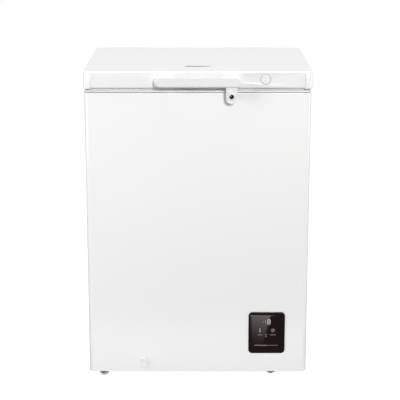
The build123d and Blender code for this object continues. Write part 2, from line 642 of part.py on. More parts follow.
# ---------------------------------------------------------------- padlock bracket on the cabinet
def padlock_bracket():
    """Bent plate behind the hasp: a base on the casing, a web at the side, and an eye with the padlock hole."""
    x0, x1 = HASP_X - EYE_HALF, HASP_X + EYE_HALF
    eye_back = EYE_FRONT + EYE_THICKNESS
    base = block(x0, x1, FRONT - 3, FRONT, BRACKET_BOTTOM, SHELL_TOP - 2)
    web = block(x1 - WEB_THICKNESS, x1, EYE_FRONT, FRONT, PADLOCK_Z - EYE_HALF, SHELL_TOP - 2)
    eye = block(HASP_X, x1, EYE_FRONT, eye_back, PADLOCK_Z - EYE_HALF, SHELL_TOP - 2)
    eye += rod_y(EYE_HALF, HASP_X, EYE_FRONT, eye_back, PADLOCK_Z)
    eye -= rod_y(PADLOCK_RADIUS, HASP_X, EYE_FRONT - 1, eye_back + 1, PADLOCK_Z)
    return base + web + eye - bracket_rivets()


def bracket_rivets():
    return [screw_y(HASP_X - 2, z, FRONT - 3, -1, 12, 4.0, 2.0)
            for z in (BRACKET_BOTTOM + 5, BRACKET_BOTTOM + 16)]


# ---------------------------------------------------------------- lid
def lid_outline(inset, z0, z1):
    half_y = (LID_BACK - LID_FRONT) / 2 - inset
    corner = max(LID_CORNER - inset, 1.0)
    return slab(LID_WIDTH / 2 - inset, half_y, corner, z0, z1)


def corner_box(sx, sy, size, z0, z1):
    x_out, y_out = sx * (LID_WIDTH / 2 + 5), BODY_MID_Y + sy * ((LID_BACK - LID_FRONT) / 2 + 5)
    x_in = sx * (LID_WIDTH / 2 - size)
    y_in = BODY_MID_Y + sy * ((LID_BACK - LID_FRONT) / 2 - size)
    return block(*sorted((x_in, x_out)), *sorted((y_in, y_out)), z0, z1)


CORNERS = {"front_left": (-1, -1), "front_right": (1, -1), "rear_left": (-1, 1), "rear_right": (1, 1)}
CAP_TOP = LID_TOP - 3.5


def lid_cover():
    """Painted steel tray over the lid, notched at the corners for the corner pieces."""
    outside = lid_outline(0, LID_BOTTOM, LID_TOP)
    outside = fillet(outside.faces().sort_by(Axis.Z)[-1].edges(), 3)
    inside = lid_outline(SHEET, LID_BOTTOM - 1, LID_TOP - SHEET)
    cover = outside - fillet(inside.faces().sort_by(Axis.Z)[-1].edges(), 3 - SHEET)
    for sx, sy in CORNERS.values():
        cover -= corner_box(sx, sy, CAP_LENGTH, LID_BOTTOM - 1, CAP_TOP)
    cover -= rod_y(CAP_RADIUS, CAP_X, LID_FRONT - 1, LID_FRONT + 2, CAP_Z)
    return cover - handle_screws() - leaf_screws()


def lid_corner(name):
    """Plastic corner piece, a little longer than the lid's skirt."""
    sx, sy = CORNERS[name]
    piece = lid_outline(0, LID_BOTTOM - CAP_DROP, CAP_TOP - 0.2)
    piece = fillet(piece.faces().sort_by(Axis.Z)[0].edges(), 2)
    piece &= corner_box(sx, sy, CAP_LENGTH - FIT_GAP, LID_BOTTOM - CAP_DROP, CAP_TOP)
    return piece - lid_outline(CAP_WALL, LID_BOTTOM - CAP_DROP - 1, LID_TOP)


def lid_insulation():
    foam = lid_outline(2.5, LID_BOTTOM + PANEL_SKIN, LID_TOP - SHEET)
    foam = fillet(foam.faces().sort_by(Axis.Z)[-1].edges(), 3)
    plug = slab(PLUG_X - PANEL_SKIN, PLUG_Y - PANEL_SKIN, TUB_CORNER, PLUG_BOTTOM + PANEL_SKIN,
                LID_BOTTOM + PANEL_SKIN)
    foam += plug
    for screw in handle_screws() + leaf_screws():
        foam -= screw
    foam -= lock_cap()
    return foam


def lid_inner_panel():
    """White plastic liner of the lid: a flat border and a raised middle that drops into the tub."""
    border = lid_outline(2.5, LID_BOTTOM, LID_BOTTOM + PANEL_SKIN)
    middle = slab(PLUG_X, PLUG_Y, TUB_CORNER + PANEL_SKIN, PLUG_BOTTOM, LID_BOTTOM + PANEL_SKIN)
    middle = fillet(middle.faces().sort_by(Axis.Z)[0].edges(), 1.2)
    inside = slab(PLUG_X - PANEL_SKIN, PLUG_Y - PANEL_SKIN, TUB_CORNER, PLUG_BOTTOM + PANEL_SKIN,
                  LID_BOTTOM + PANEL_SKIN + 1)
    return (border + middle) - inside


def lid_gasket():
    """Magnetic seal on the border of the lid's inner panel: a waist above and below its bulging middle."""
    half_x, half_y = SIDE - GASKET_INSET, BODY_DEPTH / 2 - GASKET_INSET
    low = RIM_TOP + 0.2

    def ring(out, width, z0, z1):
        outer = slab(half_x - out, half_y - out, GASKET_CORNER - out, z0, z1)
        return outer - slab(half_x - out - width, half_y - out - width, GASKET_CORNER - out - width + 8,
                            z0 - 1, z1 + 1)

    seal = ring(3, GASKET_WIDTH - 4, low, low + 1.8)
    seal += ring(0, GASKET_WIDTH, low + 1.8, low + 4.6)
    return seal + ring(3, GASKET_WIDTH - 4, low + 4.6, LID_BOTTOM)


def stadium_xz(x0, x1, z0, z1, y0, y1):
    return plate_xz(x1 - x0, z1 - z0, (z1 - z0) / 2 - 0.01, (x0 + x1) / 2, (z0 + z1) / 2, y0, y1)


def handle():
    """Bar handle on two hollow posts, open between bar and lid for the fingers."""
    body = stadium_xz(-HANDLE_HALF, HANDLE_HALF, HANDLE_BOTTOM, HANDLE_TOP, HANDLE_FRONT, LID_FRONT)
    body = fillet(body.faces().sort_by(Axis.Y)[0].edges(), 5)
    bar_back = HANDLE_FRONT + BAR_THICKNESS
    gap = block(GAP_LEFT, GAP_RIGHT, bar_back, LID_FRONT + 1, HANDLE_BOTTOM - 1, HANDLE_TOP + 1)
    gap = fillet(gap.edges().filter_by(Axis.Z).group_by(Axis.Y)[0], 9)
    body -= gap
    # the bar is 3 mm lower than the posts between them
    scoop = block(GAP_LEFT + 6, GAP_RIGHT - 6, HANDLE_FRONT - 1, LID_FRONT + 1, HANDLE_TOP - 3, HANDLE_TOP + 10)
    scoop = fillet(scoop.edges().filter_by(Axis.Y).group_by(Axis.Z)[0], 2.9)
    body -= scoop
    for x0, x1 in ((-HANDLE_HALF + 6, GAP_LEFT - 4), (GAP_RIGHT + 4, HANDLE_HALF - 6)):
        pocket = block(x0, x1, HANDLE_FRONT + 9, LID_FRONT + 1, HANDLE_BOTTOM + 4, HANDLE_TOP - 4)
        pocket = fillet(pocket.edges().filter_by(Axis.Y), 5)
        middle = (x0 + x1) / 2
        pocket -= rod_y(6, middle, HANDLE_FRONT, LID_FRONT + 2, (HANDLE_BOTTOM + HANDLE_TOP) / 2 + 2)
        body -= pocket
    body -= lock_hasp()
    return body - handle_screws()


def post_middles():
    return [(-HANDLE_HALF + 6 + GAP_LEFT - 4) / 2, (GAP_RIGHT + 4 + HANDLE_HALF - 6) / 2]


def handle_screws():
    """Screws from inside the lid's skirt into the handle's posts."""
    z = (HANDLE_BOTTOM + HANDLE_TOP) / 2 + 2
    y = LID_FRONT + SHEET
    return [screw_y(x, z, y, 1, 14, 5, 2.2) for x in post_middles()]


def lock_hasp():
    """Tongue under the right end of the handle, with a raised border and the padlock hole."""
    half = HASP_WIDTH / 2
    y0, y1 = HASP_FRONT, HASP_FRONT + HASP_THICKNESS
    tongue = block(HASP_X - half, HASP_X + half, y0, y1, HASP_ARC_Z, HASP_TOP)
    tongue += rod_y(half, HASP_X, y0, y1, HASP_ARC_Z)
    well = block(HASP_X - half + 3.5, HASP_X + half - 3.5, y0 - 1, y0 + 1.2, PADLOCK_Z + 12, HANDLE_BOTTOM - 4)
    well = fillet(well.edges().filter_by(Axis.Y), 3)
    return tongue - well - rod_y(PADLOCK_RADIUS, HASP_X, y0 - 1, y1 + 1, PADLOCK_Z)


def lock_cap():
    """Flush round blank in the lid's front."""
    disc = rod_y(CAP_RADIUS - 0.5, CAP_X, LID_FRONT - 0.6, LID_FRONT + 1.5, CAP_Z)
    disc = fillet(disc.edges().group_by(Axis.Y)[0], 0.4)
    return disc + rod_y(6, CAP_X, LID_FRONT + 1.5, LID_FRONT + 9, CAP_Z)


def badge():
    """Plain pill-shaped badge on the lid, with no lettering."""
    outline = Pos(0, LID_FRONT + 92, LID_TOP) * RectangleRounded(68, 14, 6.9)
    plate = extrude(outline, 0.8)
    return fillet(plate.faces().sort_by(Axis.Z)[-1].edges(), 0.5)


# ---------------------------------------------------------------- hinges
def hinge_base(side):
    """Bracket on the back of the cabinet, with two cheeks that carry the pin."""
    x = side * HINGE_X
    plate = plate_xz(66, 62, 6, x, HINGE_Z - 40, BACK, BACK + 3)
    for sx in (-1, 1):
        a, b = sorted((x + sx * CHEEK_INNER, x + sx * CHEEK_OUTER))
        points = [(BACK, HINGE_Z - 66), (BACK, HINGE_Z - 11), (HINGE_Y - 8.6, HINGE_Z - 2),
                  (HINGE_Y + 8.6, HINGE_Z - 3), (BACK + 6, HINGE_Z - 66)]
        plate += profile_yz(points, a, b)
        plate += rod_x(CHEEK_RADIUS, a, b, HINGE_Y, HINGE_Z)
    plate -= rod_x(PIN_RADIUS + 0.02, x - 40, x + 40, HINGE_Y, HINGE_Z)
    return plate - hinge_screws_back()


def hinge_leaf(side):
    """Leaf on the back of the lid, with the middle knuckle."""
    x = side * HINGE_X
    leaf = plate_xz(42, 32, 5, x, HINGE_Z + 30, LID_BACK, LID_BACK + 3)
    points = [(LID_BACK, HINGE_Z + 14), (LID_BACK, HINGE_Z + 25), (LID_BACK + 3, HINGE_Z + 25),
              (HINGE_Y + 7.8, HINGE_Z + 1.6), (HINGE_Y - 6, HINGE_Z + 5)]
    leaf += profile_yz(points, x - 10, x + 10)
    leaf += rod_x(KNUCKLE_RADIUS, x - 10, x + 10, HINGE_Y, HINGE_Z)
    leaf -= rod_x(PIN_RADIUS + 0.05, x - 40, x + 40, HINGE_Y, HINGE_Z)
    return leaf - leaf_screws()


def hinge_pins():
    pins = []
    for side in (-1, 1):
        x = side * HINGE_X
        pin = rod_x(PIN_RADIUS, x - CHEEK_OUTER, x + CHEEK_OUTER, HINGE_Y, HINGE_Z)
        pins.append(pin + rod_x(6.0, x + CHEEK_OUTER, x + CHEEK_OUTER + 2.5, HINGE_Y, HINGE_Z))
    return pins


def hinge_springs():
    """Coils on each pin that balance the lid."""
    springs = []
    for side in (-1, 1):
        for sx in (-1, 1):
            start = side * HINGE_X + (11.8 if sx > 0 else -22.2)
            helix = Pos(start, HINGE_Y, HINGE_Z) * Rot(0, 90, 0) * Helix(pitch=2.6, height=10.4, radius=5.9)
            section = Plane(origin=helix @ 0, z_dir=helix % 0) * Circle(1.0)
            springs.append(sweep(section, path=helix, is_frenet=True))
    return springs


def hinge_screws_back():
    return [screw_y(side * HINGE_X + dx, z, BACK + 3, 1, 14, 3.8, 2.0)
            for side in (-1, 1) for dx in (-13, 13) for z in (HINGE_Z - 59, HINGE_Z - 35)]


def leaf_screws():
    return [screw_y(side * HINGE_X + dx, HINGE_Z + 37, LID_BACK + 3, 1, 12, 3.8, 2.0)
            for side in (-1, 1) for dx in (-14, 14)]


# ---------------------------------------------------------------- basket
def ring_wire(half_y, z, radius):
    """A closed level wire, with the basket's outline in plan."""
    middle = (BASKET_LEFT + BASKET_RIGHT) / 2
    outline = Pos(middle, BODY_MID_Y, z) * RectangleRounded(BASKET_RIGHT - BASKET_LEFT, 2 * half_y, BASKET_CORNER)
    path = outline.wire()
    return sweep(Plane(path @ 0, z_dir=path % 0) * Circle(radius), path=path)


def spaced(low, high, count):
    return [low + (high - low) * i / (count - 1) for i in range(count)]


def basket_rim():
    return ring_wire(BASKET_RIM_Y, BASKET_Z, RIM_WIRE)


def long_wall(sy):
    """Front or back grid: wires that bend out to the rim, and two level ties."""
    y = BODY_MID_Y + sy * BASKET_WALL_Y
    y_rim = BODY_MID_Y + sy * (BASKET_RIM_Y - RIM_WIRE - TOUCH)
    wires = []
    for x in spaced(BASKET_LEFT + 32, BASKET_RIGHT - 32, 8):
        route = [(x, y, BASKET_FLOOR + RING_WIRE + TOUCH), (x, y, BASKET_Z), (x, y_rim, BASKET_Z)]
        wires.append(tube(route, 3, GRID_WIRE))
    for z in BASKET_TIES:
        wires.append(rod_x(GRID_WIRE, BASKET_LEFT + 10, BASKET_RIGHT - 10, y - sy * WIRE_STEP, z))
    return wires[0].fuse(*wires[1:])


def short_wall(sx, x):
    """End grid, whose middle wires stop under the grip."""
    wires = []
    for dy in spaced(-BASKET_WALL_Y + 28, BASKET_WALL_Y - 28, 12):
        hidden = GRIP_RADIUS if abs(dy) < GRIP_HALF + 2 else RIM_WIRE
        wires.append(rod_z(GRID_WIRE, x, BODY_MID_Y + dy, BASKET_FLOOR + RING_WIRE + TOUCH,
                           BASKET_Z - hidden - TOUCH))
    reach = BASKET_WALL_Y - 8
    for z in BASKET_TIES:
        wires.append(rod_y(GRID_WIRE, x - sx * WIRE_STEP, BODY_MID_Y - reach, BODY_MID_Y + reach, z))
    return wires[0].fuse(*wires[1:])


def basket_walls():
    return [long_wall(-1), long_wall(1), short_wall(-1, BASKET_LEFT), short_wall(1, BASKET_RIGHT)]


def basket_floor():
    """Floor grid: a frame wire, wires across it, and wires along it one step lower."""
    z = BASKET_FLOOR
    y0, y1 = BODY_MID_Y - BASKET_WALL_Y, BODY_MID_Y + BASKET_WALL_Y
    wires = [ring_wire(BASKET_WALL_Y, z, RING_WIRE)]
    wires += [rod_y(GRID_WIRE, x, y0, y1, z) for x in spaced(BASKET_LEFT + 32, BASKET_RIGHT - 32, 8)]
    wires += [rod_x(GRID_WIRE, BASKET_LEFT, BASKET_RIGHT, y, z - WIRE_STEP) for y in spaced(y0 + 28, y1 - 28, 12)]
    return wires[0].fuse(*wires[1:])


def basket_grips():
    """Plastic grips clipped round the rim wire on the two short sides."""
    grips = []
    for x in (BASKET_LEFT, BASKET_RIGHT):
        grip = rod_y(GRIP_RADIUS, x, BODY_MID_Y - GRIP_HALF, BODY_MID_Y + GRIP_HALF, BASKET_Z)
        grip = fillet(grip.edges().filter_by(GeomType.CIRCLE), 1.5)
        grips.append(grip - rod_y(RIM_WIRE + TOUCH, x, BODY_MID_Y - 50, BODY_MID_Y + 50, BASKET_Z))
    return grips


NODES = {
    "outer_casing": outer_casing,
    "back_panel": back_panel,
    "bottom_panel": bottom_panel,
    "cabinet_insulation": insulation,
    "inner_liner": inner_liner,
    "rim_frame": rim_frame,
    "drain_tube": drain_tube,
    "drain_stopper": drain_stopper,
    "drain_cap": drain_cap,
    "evaporator_tube": evaporator_tube,
    "condenser_tube": condenser_tube,
    "compressor_tray": compressor_tray,
    "compressor_pot": compressor_pot,
    "compressor_bolts": compressor_bolts,
    "compressor_grommets": compressor_grommets,
    "relay_cover": relay_cover,
    "discharge_tube": discharge_tube,
    "suction_tube": suction_tube,
    "filter_drier": filter_drier,
    "rear_vent_cover": rear_vent_cover,
    "cabinet_screws": lambda: rear_screws() + hinge_screws_back(),
    "cable_gland": cable_gland,
    "control_bezel": control_bezel,
    "control_glass": control_glass,
    "display_digits": display_digits,
    "panel_marks": panel_marks,
    "control_board": control_board,
    "control_housing": control_housing,
    "roller_housings": lambda: [roller_housing(FRONT_ROLLER_Y), roller_housing(REAR_ROLLER_Y)],
    "roller_wheel_front": lambda: roller_wheel(FRONT_ROLLER_Y),
    "roller_wheel_rear": lambda: roller_wheel(REAR_ROLLER_Y),
    "roller_axles": roller_axles,
    "foot_front": lambda: levelling_foot(FRONT_FOOT_Y),
    "foot_rear": lambda: levelling_foot(REAR_FOOT_Y),
    "foot_nuts": foot_nuts,
    "padlock_bracket": padlock_bracket,
    "bracket_rivets": bracket_rivets,
    "lid_cover": lid_cover,
    "lid_corner_front_left": lambda: lid_corner("front_left"),
    "lid_corner_front_right": lambda: lid_corner("front_right"),
    "lid_corner_rear_left": lambda: lid_corner("rear_left"),
    "lid_corner_rear_right": lambda: lid_corner("rear_right"),
    "lid_insulation": lid_insulation,
    "lid_inner_panel": lid_inner_panel,
    "lid_gasket": lid_gasket,
    "handle": handle,
    "handle_screws": handle_screws,
    "lock_hasp": lock_hasp,
    "lock_cap": lock_cap,
    "badge": badge,
    "hinge_bases": lambda: [hinge_base(-1), hinge_base(1)],
    "hinge_leaves": lambda: [hinge_leaf(-1), hinge_leaf(1)],
    "hinge_pins": hinge_pins,
    "hinge_springs": hinge_springs,
    "leaf_screws": leaf_screws,
    "basket_rim": basket_rim,
    "basket_floor": basket_floor,
    "basket_walls": basket_walls,
    "basket_grips": basket_grips,
}


def solids_in(made):
    pieces = made if isinstance(made, (list, tuple)) else [made]
    return [solid for piece in pieces for solid in piece.solids()]


def main():
    os.makedirs("parts", exist_ok=True)
    for name, build in NODES.items():
        solids = solids_in(build())
        shape = solids[0] if len(solids) == 1 else Compound(children=solids)
        export_step(shape, os.path.join("parts", name + ".step"))


main()
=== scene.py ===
"""Compact chest freezer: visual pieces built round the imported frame.

Lengths in this file are millimetres, in the frame's axes: +Z up, +X to the right of a person who faces the
front, +Y towards the back. They become metres where a mesh is made. Lights and the camera are in metres.
"""

import json
import math

import bmesh
import bpy
from mathutils import Matrix, Vector

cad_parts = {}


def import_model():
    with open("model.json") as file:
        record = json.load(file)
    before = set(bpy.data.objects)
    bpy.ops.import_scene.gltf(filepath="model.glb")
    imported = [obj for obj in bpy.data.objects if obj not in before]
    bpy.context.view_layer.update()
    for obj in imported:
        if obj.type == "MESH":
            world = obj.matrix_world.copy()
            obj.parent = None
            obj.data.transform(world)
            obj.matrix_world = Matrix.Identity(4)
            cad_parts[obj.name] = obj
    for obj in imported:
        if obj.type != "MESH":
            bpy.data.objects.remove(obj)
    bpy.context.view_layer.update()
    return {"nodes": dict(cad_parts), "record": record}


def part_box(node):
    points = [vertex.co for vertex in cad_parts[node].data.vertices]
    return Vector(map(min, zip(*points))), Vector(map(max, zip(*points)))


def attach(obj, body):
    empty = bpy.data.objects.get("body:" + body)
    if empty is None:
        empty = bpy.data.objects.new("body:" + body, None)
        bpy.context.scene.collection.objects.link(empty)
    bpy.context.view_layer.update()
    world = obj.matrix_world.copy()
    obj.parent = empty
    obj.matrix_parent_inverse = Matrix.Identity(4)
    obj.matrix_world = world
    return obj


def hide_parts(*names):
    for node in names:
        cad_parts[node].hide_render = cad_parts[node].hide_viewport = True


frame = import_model()
record = frame["record"]
nodes = frame["nodes"]
BODY_OF = {node: body for body, members in record["behaviour"]["bodies"].items() for node in members}
SLOT_OF = {row["node"]: row["material_slot"] for row in record["subparts"]}
scene = bpy.context.scene
MM = 0.001


def limits(node):
    """Lowest and highest corner of a CAD node, in millimetres."""
    low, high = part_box(node)
    return [v / MM for v in low], [v / MM for v in high]


(_, CY0, CZ0), (CX1, CY1, CZ1) = limits("outer_casing")
(_, LY0, LZ0), (LX1, LY1, LZ1) = limits("lid_cover")
(_, _, RIM_LOW), (_, _, RIM_TOP) = limits("rim_frame")
MID_Y = (CY0 + CY1) / 2
HALF_X, HALF_Y = CX1, (CY1 - CY0) / 2
LID_HALF_X, LID_HALF_Y = LX1, (LY1 - LY0) / 2
BODY_CORNER, LID_CORNER = 12.0, 10.0
TUB = 235.0, 174.0, 35.0        # half sizes and corner of the tub's inside
SHEET = 0.8
PADLOCK_R = 6.3


# ------------------------------------------------------------------ materials
def tint(base, factor):
    """A colour made lighter or darker, with its alpha."""
    return tuple(min(1, c * factor) for c in base) + (1,)


class Shader:
    """A small helper that adds nodes to one material and links them."""

    def __init__(self, name):
        self.material = bpy.data.materials.new(name)
        self.material.use_nodes = True
        self.tree = self.material.node_tree
        self.bsdf = self.tree.nodes["Principled BSDF"]
        self.coords = self.add("ShaderNodeTexCoord").outputs["Object"]

    def add(self, kind, **inputs):
        node = self.tree.nodes.new(kind)
        for key, value in inputs.items():
            node.inputs[key.replace("_", " ")].default_value = value
        return node

    def link(self, source, target):
        self.tree.links.new(source, target)

    def stretched(self, scale):
        mapping = self.add("ShaderNodeMapping")
        mapping.inputs["Scale"].default_value = scale
        self.link(self.coords, mapping.inputs["Vector"])
        return mapping.outputs["Vector"]

    def noise(self, scale, detail=3.0, rough=0.5, stretch=None):
        node = self.add("ShaderNodeTexNoise", Scale=scale, Detail=detail, Roughness=rough)
        self.link(self.stretched(stretch) if stretch else self.coords, node.inputs["Vector"])
        return node.outputs["Fac"]

    def ramp(self, source, low, high, start=0.3, end=0.7):
        """A value or colour that goes from low to high as source goes from start to end."""
        node = self.add("ShaderNodeValToRGB")
        first, last = node.color_ramp.elements
        first.position, last.position = start, end
        for element, value in ((first, low), (last, high)):
            element.color = value if hasattr(value, "__len__") else (value, value, value, 1)
        self.link(source, node.inputs["Fac"])
        return node.outputs["Color"]

    def bump(self, source, strength, distance, below=None):
        node = self.add("ShaderNodeBump", Strength=strength, Distance=distance)
        self.link(source, node.inputs["Height"])
        if below is not None:
            self.link(below, node.inputs["Normal"])
        return node.outputs["Normal"]

    def set(self, **inputs):
        for key, value in inputs.items():
            self.bsdf.inputs[key.replace("_", " ")].default_value = value

    def colour(self, base, vary, scale):
        low, high = tint(base, 1 - vary), tint(base, 1 + vary)
        self.link(self.ramp(self.noise(scale, 4), low, high), self.bsdf.inputs["Base Color"])

    def roughness(self, low, high, scale, stretch=None):
        self.link(self.ramp(self.noise(scale, 5, 0.6, stretch), low, high), self.bsdf.inputs["Roughness"])

    def normal(self, output):
        self.link(output, self.bsdf.inputs["Normal"])


def enamel(name, base, rough=(0.24, 0.34), peel=0.05):
    """Baked enamel on steel sheet: faint orange peel, soft clear gloss."""
    s = Shader(name)
    s.link(s.ramp(s.noise(3.0, 1), rough[0], rough[1], 0.2, 0.8), s.bsdf.inputs["Roughness"])
    s.set(Base_Color=(*base, 1), Coat_Weight=0.25, Coat_Roughness=0.12, IOR=1.5)
    s.normal(s.bump(s.noise(420, 2), peel, 0.0002))
    return s.material


def plastic(name, base, rough=(0.3, 0.42), grain=0.08, scale=1400, vary=0.01):
    """Moulded plastic with a fine spark-eroded grain."""
    s = Shader(name)
    s.colour(base, vary, 14)
    s.roughness(*rough, 40)
    s.set(IOR=1.47)
    s.normal(s.bump(s.noise(scale, 2), grain, 0.0001))
    return s.material


def gloss(name, base, rough=(0.012, 0.02)):
    """Polished dark plastic over the display, with faint wiping marks."""
    s = Shader(name)
    s.colour(base, 0.1, 6)
    s.roughness(*rough, 18, (1, 1, 4))
    s.set(IOR=1.28)
    return s.material


def rubber(name, base):
    s = Shader(name)
    s.colour(base, 0.06, 60)
    s.roughness(0.55, 0.75, 90)
    s.normal(s.bump(s.noise(900, 3), 0.15, 0.0002))
    return s.material


def metal(name, base, rough=(0.25, 0.42), stretch=(1, 1, 30), vary=0.06, scale=70):
    """Drawn or plated metal, with marks along one direction."""
    s = Shader(name)
    s.colour(base, vary, 24)
    s.roughness(*rough, scale, stretch)
    s.set(Metallic=1.0)
    s.normal(s.bump(s.noise(scale * 2, 2, 0.5, stretch), 0.06, 0.0002))
    return s.material


def spangled(name, base):
    """Galvanised sheet: flat crystals of slightly different brightness."""
    s = Shader(name)
    cells = s.add("ShaderNodeTexVoronoi", Scale=60.0)
    s.link(s.coords, cells.inputs["Vector"])
    darker, lighter = tint(base, 0.9), tint(base, 1.06)
    s.link(s.ramp(cells.outputs["Color"], darker, lighter, 0.1, 0.9), s.bsdf.inputs["Base Color"])
    s.roughness(0.34, 0.5, 30)
    s.set(Metallic=0.75)
    s.normal(s.bump(s.noise(300, 2), 0.05, 0.0002))
    return s.material


def stucco(name, base):
    """Embossed liner sheet: shallow pebbles under a satin coat."""
    s = Shader(name)
    cells = s.add("ShaderNodeTexVoronoi", Scale=110.0)
    cells.feature = "SMOOTH_F1"
    s.link(s.coords, cells.inputs["Vector"])
    s.colour(base, 0.01, 8)
    s.roughness(0.3, 0.4, 20)
    s.set(Metallic=0.1)
    s.normal(s.bump(cells.outputs["Distance"], 0.35, 0.0008))
    return s.material


def foam(name, base):
    s = Shader(name)
    s.colour(base, 0.08, 30)
    s.roughness(0.85, 0.95, 50)
    cells = s.add("ShaderNodeTexVoronoi", Scale=700.0)
    s.link(s.coords, cells.inputs["Vector"])
    s.normal(s.bump(cells.outputs["Distance"], 0.4, 0.0006))
    return s.material


def lit(name, base, strength):
    """A lit figure behind the glass."""
    s = Shader(name)
    s.colour(base, 0.02, 300)
    s.roughness(0.35, 0.45, 200)
    s.set(Emission_Color=(*base, 1), Emission_Strength=strength)
    return s.material


WHITE = (0.855, 0.855, 0.85)
MATERIALS = {
    "casing_paint": enamel("casing_enamel", WHITE, (0.29, 0.31)),
    "back_sheet": spangled("galvanised_sheet", (0.62, 0.64, 0.65)),
    "lid_paint": enamel("lid_enamel", WHITE, (0.26, 0.27)),
    "white_plastic": plastic("white_plastic", (0.84, 0.84, 0.835), (0.26, 0.36), 0.05),
    "handle_plastic": plastic("handle_plastic", (0.77, 0.77, 0.77), (0.32, 0.42)),
    "liner": stucco("embossed_liner", (0.82, 0.83, 0.83)),
    "foam": foam("foam", (0.82, 0.74, 0.5)),
    "gasket": rubber("gasket_vinyl", (0.8, 0.8, 0.8)),
    "dark_glass": gloss("dark_glass", (0.0105, 0.0062, 0.006)),
    "bezel": plastic("bezel_black", (0.012, 0.010, 0.010), (0.12, 0.2), 0.02),
    "display": lit("lit_figures", (0.8, 0.77, 0.76), 0.3),
    # The printed marks are also given a faint glow. This is painted glow, since print gives no light.
    "marks": lit("printed_marks_painted_glow", (0.25, 0.225, 0.22), 0.25),
    "board": plastic("circuit_board", (0.03, 0.16, 0.07), (0.3, 0.45), 0.1),
    "grey_plastic": plastic("grey_plastic", (0.16, 0.16, 0.165), (0.38, 0.5), 0.12, 900),
    "black_plastic": plastic("black_plastic", (0.022, 0.022, 0.023), (0.38, 0.5), 0.12, 900),
    "copper": metal("copper_tube", (0.78, 0.42, 0.28), (0.2, 0.35), (30, 30, 1)),
    "aluminium": metal("aluminium_tube", (0.8, 0.81, 0.82), (0.25, 0.4)),
    "black_steel": enamel("black_enamel", (0.014, 0.014, 0.015), (0.3, 0.45), 0.12),
    "zinc": metal("zinc_plate", (0.68, 0.69, 0.71), (0.24, 0.4), (1, 14, 1)),
    "rubber": rubber("black_rubber", (0.022, 0.022, 0.022)),
    "wire": plastic("dipped_wire", (0.8, 0.8, 0.8), (0.22, 0.32), 0.05),
}
BADGE = metal("satin_badge", (0.42, 0.42, 0.43), (0.25, 0.35), (1, 20, 1))
DIM_FIGURE = lit("dim_figure", (0.3, 0.27, 0.26), 0.3)
DRAIN_PLASTIC = plastic("drain_plastic", (0.78, 0.78, 0.775), (0.3, 0.4), 0.05)
WHEEL_PLASTIC = plastic("wheel_plastic", (0.5, 0.5, 0.5), (0.38, 0.5), 0.12, 900)
# Near-black plastic that paints shade. It goes in the rim seam and behind the lock blank, where there is only
# shadow.
PAINTED_SHADE = plastic("painted_shade_black", (0.03, 0.03, 0.03), (0.6, 0.7))


# ------------------------------------------------------------------ meshes
def smooth(obj, angle=32):
    mesh = obj.data
    mesh.polygons.foreach_set("use_smooth", [True] * len(mesh.polygons))
    mesh.set_sharp_from_angle(angle=math.radians(angle))
    return obj


def new_mesh(name, points, faces, angle=32):
    """A mesh object from points in millimetres, with its faces turned outwards."""
    mesh = bpy.data.meshes.new(name)
    mesh.from_pydata([[v * MM for v in p] for p in points], [], faces)
    work = bmesh.new()
    work.from_mesh(mesh)
    bmesh.ops.recalc_face_normals(work, faces=work.faces)
    work.to_mesh(mesh)
    work.free()
    obj = bpy.data.objects.new(name, mesh)
    scene.collection.objects.link(obj)
    return smooth(obj, angle)


def skin(name, rings, loop=True, closed=False, angle=32):
    """A surface over rings of points. loop joins each ring's ends, and closed joins the last ring to the
    first. Otherwise the end rings are capped."""
    n = len(rings[0])
    points = [p for ring in rings for p in ring]
    faces = []
    for r in range(len(rings) if closed else len(rings) - 1):
        a, b = r * n, ((r + 1) % len(rings)) * n
        for i in range(n if loop else n - 1):
            j = (i + 1) % n
            faces.append((a + i, a + j, b + j, b + i))
    if not closed:
        faces.append(tuple(range(n)))
        faces.append(tuple(range(len(points) - n, len(points))))
    if closed and not loop:
        faces.append(tuple(r * n for r in range(len(rings))))
        faces.append(tuple(r * n + n - 1 for r in range(len(rings))))
    return new_mesh(name, points, faces, angle)


def rounded(hx, hy, radius, steps=10):
    """A rounded rectangle about the origin. It has the same number of points whatever its radius."""
    radius = max(radius, 0.05)
    points = []
    centres = ((hx - radius, radius - hy, -90), (hx - radius, hy - radius, 0),
               (radius - hx, hy - radius, 90), (radius - hx, radius - hy, 180))
    for cx, cy, start in centres:
        for i in range(steps + 1):
            a = math.radians(start + 90 * i / steps)
            points.append((cx + radius * math.cos(a), cy + radius * math.sin(a)))
    return points


def level_ring(hx, hy, radius, z, steps=10, x=0.0, y=None):
    """A level rounded rectangle, about the cabinet's middle unless x and y say otherwise."""
    y = MID_Y if y is None else y
    return [(x + u, y + v, z) for u, v in rounded(hx, hy, radius, steps)]


def stacked(half_x, half_y, corner, profile, steps=10, x=0.0, y=None):
    """Level rings of one rounded rectangle, at each (inset, z) of a profile."""
    return [level_ring(half_x - i, half_y - i, corner - i, z, steps, x, y) for i, z in profile]


def plate(name, x, z, width, height, corner, y_back, profile, steps=10, face=-1):
    """A plate that faces the front (face -1) or the back (1). profile holds (inset, height above y_back)."""
    rings = []
    for inset, rise in profile:
        outline = rounded(width / 2 - inset, height / 2 - inset, corner - inset, steps)
        rings.append([(x + u, y_back + face * rise, z + v) for u, v in outline])
    return skin(name, rings)


def quarter(steps):
    """Angles of a quarter turn."""
    return [math.radians(90 * k / steps) for k in range(steps + 1)]


def arc_in(radius, top, steps=4):
    """Profile of a rounded edge, from the side up to the face."""
    return [(radius * (1 - math.cos(a)), top - radius + radius * math.sin(a)) for a in quarter(steps)]


AXES = {"X": (1, 2, 0), "Y": (0, 2, 1), "Z": (0, 1, 2)}


